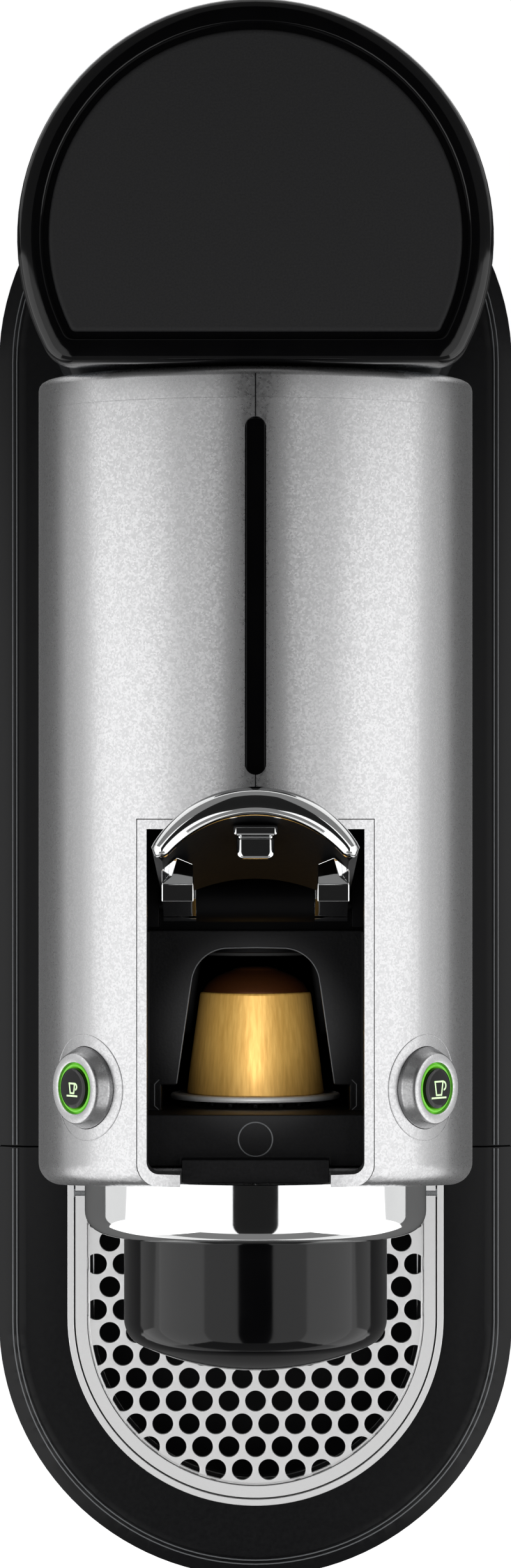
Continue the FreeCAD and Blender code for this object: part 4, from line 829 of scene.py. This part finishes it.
@dataclass
class Tower:
    """Silver half shells with rear panel, top strip and the rim of the pod bay."""

    body: str = "housing"
    slot_half: float = 2.2
    slot_front: float = 16.6
    slot_rear: float = 91.0
    top: float = 277.0
    half: float = 46.98
    axis_z: float = 230.0
    foot: float = 50.0
    shell_end: float = 95.0
    rear_end: float = 101.6
    seam_front: float = 11.0
    seam_rear: float = 100.0
    seam_size: Point = (0.13, 0.06)
    end_play: float = 0.05
    end_reach: float = 0.3
    end_depth: float = 2.4
    end_sink: float = 0.04

    def build(self) -> None:
        """Dress the shells and their trim."""
        for node in ("right_shell", "left_shell"):
            skin(node, SILVER_LACQUER, self.body, "silver_paint", 0.15)
        self.rear()
        self.seam()
        skin("slot_insert", GLOSS_ABS, self.body, "black_matte", 0.3)
        self.slot_ends()
        skin("bay_bezel", SILVER_LACQUER, self.body, "silver_paint", 0.5, 3)

    def rear(self) -> None:
        """Shape the arched rear panel, flush with the shells and rolled at its back."""
        arch = [(self.half, self.foot)] + arc((0, self.axis_z), self.half, 0, 180, 96)
        arch.append((-self.half, self.foot))
        outline = [(x, -z) for x, z in reversed(arch)]
        roll = [(0.2, 0.8), (0.45, 0.6), (0.7, 0.4), (0.8, 0.2)]
        high = self.rear_end - sum(step[1] for step in roll)
        panel = slab("rear_panel_plate", outline, self.shell_end, high, roll)
        panel.rotation_euler = (math.radians(-90), 0, 0)
        polish(panel, SLAB_CREASE, SILVER_LACQUER, self.body, "silver_paint", "rear_panel")

    def seam(self) -> None:
        """Draw the dark line where the two shells meet, behind and before the slot."""
        for label, start, end in (("rear", self.slot_rear, self.seam_rear),
                                  ("front", self.seam_front, self.slot_front)):
            path = [(0, start, self.top), (0, end, self.top)]
            draw_line(label + "_shell_seam", path, self.seam_size, SHADE_AND_SEAM_ABS, self.body, "black_matte")

    def slot_ends(self) -> None:
        """Round the two ends of the top slot with small fillets of the shell."""
        for label, end, way, start in (("front", self.slot_front, -1, 0), ("rear", self.slot_rear, 1, 180)):
            wide = way * (self.slot_half + self.end_play)
            far = end + way * self.end_reach
            curve = arc((0, end - way * self.slot_half), self.slot_half, start, start - 180, 16)
            piece = slab(label + "_slot_end", [(wide, far), (-wide, far)] + curve,
                         self.top - self.end_depth, self.top - self.end_sink)
            polish(piece, CREASE, SILVER_LACQUER, self.body, "silver_paint")


@dataclass
class PodBay:
    """Bay insert, brew frame, cage with its seal and blades, and the foil pod."""

    axis_z: float = 225.0
    rim_front: float = -53.6
    mark_y: float = -60.2
    mark_radius: float = 3.6
    floor_z: float = 260.0
    plate_z: float = 246.5
    shift: float = 0.1
    line_size: Point = (0.14, 0.12)

    def build(self) -> None:
        """Shape the pod and dress the brew unit."""
        skin("bay_insert", GRAIN_ABS, "housing", "black_matte", 0.4)
        # Brew frame and cage take the darker black, painted shade down in the bay
        skin("brew_frame", SHADE_AND_SEAM_ABS, "housing", "black_matte", 0.3)
        skin("capsule_cage", SHADE_AND_SEAM_ABS, "cage", "black_matte", 0.3)
        repaint(RUBBER, "cage_seal")
        repaint(STEEL, "piercing_blades")
        repaint(BLACK_STEEL, "extraction_plate")
        self.pod()
        self.lines()

    def lines(self) -> None:
        """Draw pale lines that are painted highlights: the edge of the pod's shaft, the brackets by the
        groove and the raised round mark.
        """
        side = [(16.8, -49.2), (13.9, -29.0)] + arc((5.7, -28.3), 8.0, 5, 85, 12) + [(0.0, -20.2)]
        shaft = [(x + self.shift, y) for x, y in side]
        shaft += [(-x, y) for x, y in reversed(shaft[:-1])]
        bracket = [(20.6, -48.4), (21.6, -49.4), (21.6, -54.0), (20.6, -54.9)]
        mark = arc((0, self.mark_y), self.mark_radius, 0, 352.5, 47)
        for name, outline, height, closed in (
                ("pod_shaft_line", shaft, self.plate_z, False),
                ("left_bracket_line", [(-x, y) for x, y in bracket], self.plate_z, False),
                ("right_bracket_line", bracket, self.plate_z, False),
                ("bay_round_mark", mark, self.floor_z, True)):
            # Their pale colour is painted highlight on the black bay; the round mark is a raised ring drawn
            # pale the same way
            draw_line(name, raised(outline, height), self.line_size, EDGE_HIGHLIGHT, "housing", "black_matte",
                      closed=closed)

    def pod(self) -> None:
        """Turn the pod's cup, its domed end and its rolled rim."""
        centre = (0, self.rim_front, self.axis_z)
        cup = [(0.6, 15.1), (1.4, 14.9), (8.0, 14.1), (16.0, 13.0), (22.6, 12.1), (23.0, 11.9), (23.2, 11.5)]
        dome = [(23.0, 11.4), (23.5, 11.4), (25.0, 10.4), (26.4, 8.6), (27.3, 6.6), (27.8, 5.0), (28.0, 4.8),
                (28.5, 3.2), (28.6, 0.6)]
        rim = [(0.1, 4.0), (0.0, 16.2), (0.1, 17.6), (0.0, 18.2), (0.3, 18.45), (0.7, 18.5), (1.05, 18.3),
               (1.2, 17.9), (1.0, 16.6), (1.1, 15.4), (1.1, 4.0)]
        # The domed end takes the dark brown of painted shade
        for label, profile, finish in (("cup", cup, GOLD_FOIL), ("dome", dome, SHADED_END_FOIL),
                                       ("rim", rim, RIM_FOIL)):
            piece = turned("coffee_pod_" + label, profile, centre, Axis.ALONG, sides=128)
            polish(piece, LATHE_CREASE, finish, "pod", "gold_foil", "coffee_pod")


@dataclass
class Lever:
    """Swing lever: chrome arms, feet, catch and crescent handle, black cover and hub sleeve."""

    body: str = "lever"
    half: float = 21.8
    crown: float = 14.2
    rise: float = 13.4
    middle_z: float = 301.3
    pivot_y: float = -10.0
    pivot_z: float = 252.0
    sleeve_half: float = 12.55
    sleeve_radius: float = 4.62
    bar_half: float = 3.0
    bar_height: float = 3.3
    bar_steps: int = 24
    taper: float = 0.4
    tip_start: float = 0.94
    tip_curve: float = 0.0037
    tip_least: float = 0.02
    foot_x: float = 16.1
    foot_half: float = 3.3
    foot_depth: float = 6.0

    def build(self) -> None:
        """Dress the lever's pieces."""
        skin("lever_arms", CHROME_PLATE, self.body, "chrome", 0.5, 3)
        # The cover takes the darker black, painted shade that keeps its inside deep black
        skin("lever_cover", SHADE_AND_SEAM_ABS, self.body, "black_gloss", 0.5, 3)
        self.sleeve()
        self.handle()
        self.catch()
        self.feet()
        repaint(BLACK_STEEL, "lever_shaft")

    def sleeve(self) -> None:
        """Slip a black sleeve over the hub between the arms."""
        path = [(x, self.pivot_y, self.pivot_z) for x in (-self.sleeve_half, self.sleeve_half)]
        sleeve = tube("lever_hub_sleeve", path, [(self.sleeve_radius, self.sleeve_radius)], sides=64)
        polish(sleeve, LATHE_CREASE, SHADE_AND_SEAM_ABS, self.body, "black_gloss")

    def handle(self) -> None:
        """Sweep the chrome crescent, thick at its crown and slim at its tips."""
        radius = (self.half ** 2 + self.rise ** 2) / (2 * self.rise)
        centre = self.crown - radius
        reach = math.degrees(math.asin(self.half / radius))
        path = []
        sizes = []
        for step in range(2 * self.bar_steps + 1):
            share = step / self.bar_steps - 1
            angle = math.radians(90 + reach * share)
            slim = 1 - self.taper * share ** 2
            beyond = max(abs(share) - self.tip_start, 0)
            tip = math.sqrt(max(1 - beyond ** 2 / self.tip_curve, self.tip_least))
            middle = radius - self.bar_half * slim
            path.append((middle * math.cos(angle), centre + middle * math.sin(angle), self.middle_z))
            sizes.append((self.bar_half * slim * tip, self.bar_height * (0.75 + 0.25 * slim) * tip))
        bar = tube("lever_crescent", path, sizes, sides=32)
        polish(bar, LINE_CREASE, CHROME_PLATE, self.body, "chrome", "lever_handle")

    def catch(self) -> None:
        """Shape the chrome catch: a flange on the cover and a rounded block in front of it."""
        plate = [(-4.55, 4.2), (4.55, 4.2), (4.55, 6.4), (-4.55, 6.4)]
        flange = slab("catch_flange", plate, 282.0, 291.0)
        soften(flange, 0.7, 4)
        outline = [(3.9, 4.3), (-3.9, 4.3)]
        outline += arc((-2.4, 0.8), 1.5, 180, 270, 6) + arc((2.4, 0.8), 1.5, 270, 360, 6)
        block = slab("catch_block", outline, 281.0, 290.0)
        soften(block, 1.1, 5)
        knob = join("lever_catch_knob", [flange, block])
        polish(knob, SLAB_CREASE, CHROME_PLATE, self.body, "chrome", "lever_catch")

    def feet(self) -> None:
        """Add the faceted chrome feet where the arms meet the cover."""
        rim = [(19.4, -6.0, 281.0), (12.8, -6.0, 281.0), (12.8, -1.8, 288.0), (16.1, -0.4, 290.5),
               (19.2, -2.9, 292.0)]
        peak = (17.4, -4.4, 283.0)
        for label, way in (("left", -1), ("right", 1)):
            fan = [(way * x, y, z) for x, y, z in rim]
            roof = facets("lever_foot", fan, (way * peak[0], *peak[1:]), self.foot_depth)
            low = way * self.foot_x - self.foot_half
            high = way * self.foot_x + self.foot_half
            outline = [(low, -9.6), (high, -9.6), (high, -5.9), (low, -5.9)]
            foot = join(label + "_lever_foot", [roof, slab("foot_plate", outline, 258.0, 281.0)])
            soften(foot, 0.25, 3, 12)
            polish(foot, CREASE, CHROME_PLATE, self.body, "chrome")


@dataclass
class Nose:
    """Round nose over the cup: mount, chrome ring, black barrel and the spout below."""

    axis_z: float = 230.0
    rear: float = -75.0
    ring_radius: float = 37.0
    ring_bore: float = 29.2
    ring_rear: float = 5.6
    ring_front: float = -7.4
    ring_round: float = 4.8

    def build(self) -> None:
        """Turn the ring, dress mount, barrel and spout."""
        skin("nose_mount", GLOSS_ABS, "housing", "black_gloss", 0.2)
        front = self.ring_front
        shoulder = front + self.ring_round
        lip = self.ring_radius - self.ring_round
        profile = [(0.0, self.ring_bore), (0.0, lip), (self.ring_rear, lip),
                   (self.ring_rear, self.ring_radius), (shoulder, self.ring_radius)]
        for radius, place in arc((lip, shoulder), self.ring_round, -10, -80, 7):
            profile.append((place, radius))
        profile += [(front, lip), (front, 30.0), (front + 0.3, 29.4), (front + 0.9, self.ring_bore)]
        hoop = turned("nose_chrome_ring", profile, (0, self.rear, self.axis_z), Axis.ALONG, True, 160)
        polish(hoop, LATHE_CREASE, CHROME_PLATE, "housing", "chrome", "chrome_ring")
        skin("nose_cap", GLOSS_ABS, "housing", "black_gloss", 0.3)
        skin("coffee_nozzle", GLOSS_ABS, "housing", "black_gloss", 0.4)


@dataclass
class CupMark:
    """Line drawing of a cup on a saucer.

    Attributes:
        top: Width of the cup at its brim.
        foot: Width at its foot.
        height: Height of the cup.
        saucer: Width of the saucer.
        line: Width of the lines.
    """

    top: float
    foot: float
    height: float
    saucer: float
    line: float = 0.36

    def strokes(self) -> list[list[Point]]:
        """Outlines of the strokes in the plane of the mark, each counter-clockwise."""
        brim, foot, high, line = self.top / 2, self.foot / 2, self.height / 2, self.line
        plate = self.saucer / 2
        low = -high - 1.6 * line
        bend, swing = (brim - 0.1, 0.3 * high), 0.33 * self.height
        ear = arc(bend, swing, -80, 90, 12)
        inner = arc(bend, swing - line, -80, 90, 12)
        return [
            [(-brim, high - line), (brim, high - line), (brim, high), (-brim, high)],
            [(-foot, -high), (foot, -high), (foot, -high + line), (-foot, -high + line)],
            [(-foot, -high), (-foot + line, -high), (-brim + line, high), (-brim, high)],
            [(foot - line, -high), (foot, -high), (brim, high), (brim - line, high)],
            [(-plate, low), (plate, low), (plate, low + line), (-plate, low + line)],
            ear + inner[::-1],
        ]


@dataclass
class Button:
    """One lit button: collar, light ring, cap with its printed cup, and the line on the shell around it."""

    side: int
    mark: CupMark
    tilt: float = 50.0
    place_y: float = -49.3
    axis_z: float = 230.0
    face: float = 50.4
    print_sink: float = 0.02
    print_rise: float = 0.04
    arch: float = 47.0
    land_radius: float = 11.2
    land_steps: int = 72
    land_size: Point = (0.14, 0.14)

    @property
    def name(self) -> str:
        """Side of the machine, as used in the names of the solids."""
        return "right" if self.side > 0 else "left"

    def lean(self, piece: Piece) -> None:
        """Turn a piece from the upright into the button's place on the arch."""
        piece.rotation_euler = (0, math.radians(self.tilt) * self.side, 0)
        piece.location = (0, self.place_y * MM, self.axis_z * MM)

    def build(self) -> None:
        """Turn collar, lamp and cap, print the mark and draw the line."""
        collar = [(-5.0, 5.8), (-5.0, 10.0), (-3.8, 10.0), (-3.8, 8.65), (0.0, 8.65), (0.6, 8.5), (2.2, 7.7),
                  (2.75, 7.45), (3.0, 7.1), (3.0, 5.75), (2.85, 5.5), (2.4, 5.4), (1.9, 5.4), (1.9, 5.8)]
        lamp = [(-5.0, 4.4), (-5.0, 5.7), (1.7, 5.7), (1.7, 5.1), (2.4, 5.1), (2.65, 5.0), (2.75, 4.8),
                (2.65, 4.55), (2.4, 4.4)]
        cap = [(-6.1, 0.01), (-6.1, 2.0), (-0.6, 2.0), (-0.6, 4.3), (2.9, 4.3), (3.2, 4.2), (3.35, 3.9),
               (3.4, 3.4), (3.4, 0.01)]
        key = self.name + "_key"
        for label, profile, hollow, finish, body, slot in (
                ("button_collar", collar, True, SILVER_LACQUER, "housing", "silver_paint"),
                ("light_ring", lamp, True, GREEN_LAMP, "housing", "green_light"),
                ("button", cap, False, GLOSS_ABS, key, "black_gloss")):
            node = "%s_%s" % (self.name, label)
            piece = turned(node + "_turned", profile, (0, 0, self.arch), Axis.UP, hollow)
            self.lean(piece)
            polish(piece, LATHE_CREASE, finish, body, slot, node)
        low = self.face - self.print_sink
        high = self.face + self.print_rise
        strokes = [slab("stroke", stroke, low, high) for stroke in self.mark.strokes()]
        mark = join(self.name + "_cup_mark", strokes)
        self.lean(mark)
        dress(mark, GREEN_PRINT, key, "green_light")
        repaint(SATIN_ABS, self.name + "_button_switch")
        self.land()

    def land(self) -> None:
        """Raise the faint round line on the shell around the button."""
        path = []
        for step in range(self.land_steps):
            turn = 2 * math.pi * step / self.land_steps
            lean = math.radians(self.tilt) + self.land_radius * math.cos(turn) / self.arch
            across = self.side * self.arch * math.sin(lean)
            along = self.place_y + self.land_radius * math.sin(turn)
            path.append((across, along, self.axis_z + self.arch * math.cos(lean)))
        draw_line(self.name + "_button_land", path, self.land_size, SILVER_LACQUER, "housing", "silver_paint",
                  closed=True, sides=12)


class Internals:
    """Pump, heater, hoses and board inside the tower, seen only with pieces taken away."""

    def build(self) -> None:
        """Paint the solids inside."""
        repaint(SATIN_ABS, "pump_chassis", "flow_meter")
        repaint(CAST, "pump", "thermoblock")
        repaint(RUBBER, "pump_mounts")
        repaint(SILICONE, "inlet_hose", "pump_hose", "boiler_hose", "brew_hose")
        repaint(BOARD, "control_board")


@dataclass
class Studio:
    """Pale floor, white tent open along the middle, dark sheets for the reflections and the camera above."""

    camera_y: float = 14.7
    camera_z: float = 1320.0
    lens: float = 115.47
    sensor: float = 36.0
    sight: float = 20000.0
    gap: float = 113.0
    roof_width: float = 318.0
    roof_z: float = 670.0
    wall_foot: float = 5.0
    wall_waist: float = 230.0
    tent_front: float = -650.0
    tent_rear: float = 140.0
    roof_radiance: float = 1.0
    wall_radiance: float = 1.75
    foot_radiance: float = 0.7
    air_radiance: float = 0.2
    floor_size: float = 14000.0
    card_z: float = 2500.0
    card_width: float = 1280.0
    card_length: float = 6000.0
    table_z: float = 0.2
    table_rear: float = 240.0
    table_front: float = -260.0
    mat_front: float = -3000.0
    mat_width: float = 600.0
    spot_y: float = -75.0
    spot_z: float = 1300.0
    spot_lean: float = 2.0
    spot_angle: float = 1.9
    spot_blend: float = 0.5
    spot_radius: float = 8.0
    spot_watts: float = 30.0

    def build(self) -> None:
        """Set up floor, light and camera."""
        floor = self.sheet("studio_floor", 0.0, (self.floor_size, self.floor_size), PAPER)
        card = self.sheet("black_card", self.card_z, (self.card_width, self.card_length), FLAG)
        card.visible_camera = False
        self.dark_sheet("dark_table", self.floor_size, self.table_front, self.table_rear)
        self.dark_sheet("dark_mat", self.mat_width, self.mat_front, self.table_front)
        outer = self.gap + self.roof_width
        for side in (-1, 1):
            middle = side * (self.gap + self.roof_width / 2)
            self.panel("roof", (middle, self.roof_z), 0.0, self.roof_width, self.roof_radiance)
            for low, high, radiance in ((self.wall_foot, self.wall_waist, self.foot_radiance),
                                        (self.wall_waist, self.roof_z, self.wall_radiance)):
                place = (side * outer, (low + high) / 2)
                self.panel("wall", place, math.radians(90) * side, high - low, radiance)
        self.spot()
        self.air()
        self.camera()

    @staticmethod
    def sheet(name: str, height: float, size: Point, finish: Finish) -> Piece:
        """Lay one flat sheet of the studio.

        Args:
            name: Name of the sheet.
            height: Height over the ground in millimetres.
            size: Size along X and Y in millimetres.
            finish: Its surface finish.

        Returns:
            The sheet.
        """
        deselect()
        bpy.ops.mesh.primitive_plane_add(size=1.0, location=(0, 0, height * MM))
        sheet = bpy.context.object
        sheet.name = name
        sheet.scale = (size[0] * MM, size[1] * MM, 1.0)
        sheet.data.materials.append(finish.build())
        return sheet

    def dark_sheet(self, name: str, width: float, front: float, rear: float) -> None:
        """Lay a dark sheet that shows in reflections only and keeps the gloss of sides and nose deep.

        Args:
            name: Name of the sheet.
            width: Width across the machine in millimetres.
            front: Its front end along Y in millimetres.
            rear: Its rear end.
        """
        sheet = self.sheet(name, self.table_z, (width, rear - front), TABLE)
        sheet.location.y = (front + rear) / 2 * MM
        for rays in ("camera", "diffuse", "transmission", "shadow"):
            setattr(sheet, "visible_" + rays, False)

    def panel(self, name: str, place: Point, lean: float, width: float, radiance: float) -> None:
        """Hang one white panel of the tent.

        Args:
            name: Part of the tent.
            place: Middle of the panel along X and Z in millimetres.
            lean: Turn about the tent's length in radians.
            width: Width across the machine; the length is the tent's.
            radiance: Brightness of the panel, one for white.
        """
        light = bpy.data.lights.new("tent_" + name, "AREA")
        light.shape = "RECTANGLE"
        light.size = width * MM
        light.size_y = (self.tent_rear - self.tent_front) * MM
        light.energy = radiance * math.pi * light.size * light.size_y
        lamp = self.lamp(light, (place[0], (self.tent_front + self.tent_rear) / 2, place[1]))
        lamp.rotation_euler = (0, lean, 0)

    def spot(self) -> None:
        """Aim a narrow soft spot from beside the camera down into the pod bay."""
        light = bpy.data.lights.new("bay_spot", "SPOT")
        light.energy = self.spot_watts
        light.spot_size = math.radians(self.spot_angle)
        light.spot_blend = self.spot_blend
        light.shadow_soft_size = self.spot_radius * MM
        lamp = self.lamp(light, (0, self.spot_y, self.spot_z))
        lamp.rotation_euler = (math.radians(self.spot_lean), 0, 0)

    @staticmethod
    def lamp(light: bpy.types.Light, place: Sequence[float]) -> Piece:
        """Put a light in its place, out of the camera's sight.

        Args:
            light: The light.
            place: Its place in millimetres.

        Returns:
            The lamp.
        """
        lamp = bpy.data.objects.new(light.name, light)
        bpy.context.scene.collection.objects.link(lamp)
        lamp.location = Vector(place) * MM
        lamp.visible_camera = False
        return lamp

    def air(self) -> None:
        """Fill the shadows with an even grey light."""
        world = bpy.data.worlds.new("studio_air")
        world.use_nodes = True
        background = world.node_tree.nodes["Background"]
        background.inputs["Color"].default_value = linear("#FFFFFF")
        background.inputs["Strength"].default_value = self.air_radiance
        bpy.context.scene.world = world
        bpy.context.scene.view_settings.view_transform = "Standard"

    def camera(self) -> None:
        """Hang the camera straight above, the top of the picture towards the rear."""
        lens = bpy.data.cameras.new("photo_camera")
        lens.sensor_fit = "VERTICAL"
        lens.sensor_height = self.sensor
        lens.lens = self.lens
        lens.clip_end = self.sight * MM
        eye = bpy.data.objects.new("photo_camera", lens)
        bpy.context.scene.collection.objects.link(eye)
        eye.location = (0, self.camera_y * MM, self.camera_z * MM)
        bpy.context.scene.camera = eye


def main() -> None:
    """Load the frame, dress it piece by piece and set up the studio."""
    logging.basicConfig(level=logging.INFO, format="%(name)s: %(message)s")
    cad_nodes.update(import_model()["nodes"])
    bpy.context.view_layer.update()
    large_cup = CupMark(3.1, 2.0, 3.2, 5.0)
    small_cup = CupMark(2.2, 1.5, 2.4, 3.6)
    for assembly in (Base(), DripModule(), CupSupport(), WaterTank(), Tower(), PodBay(), Lever(), Nose(),
                     Button(1, large_cup), Button(-1, small_cup), Internals(), Studio()):
        assembly.build()


if __name__ == "__main__":
    main()
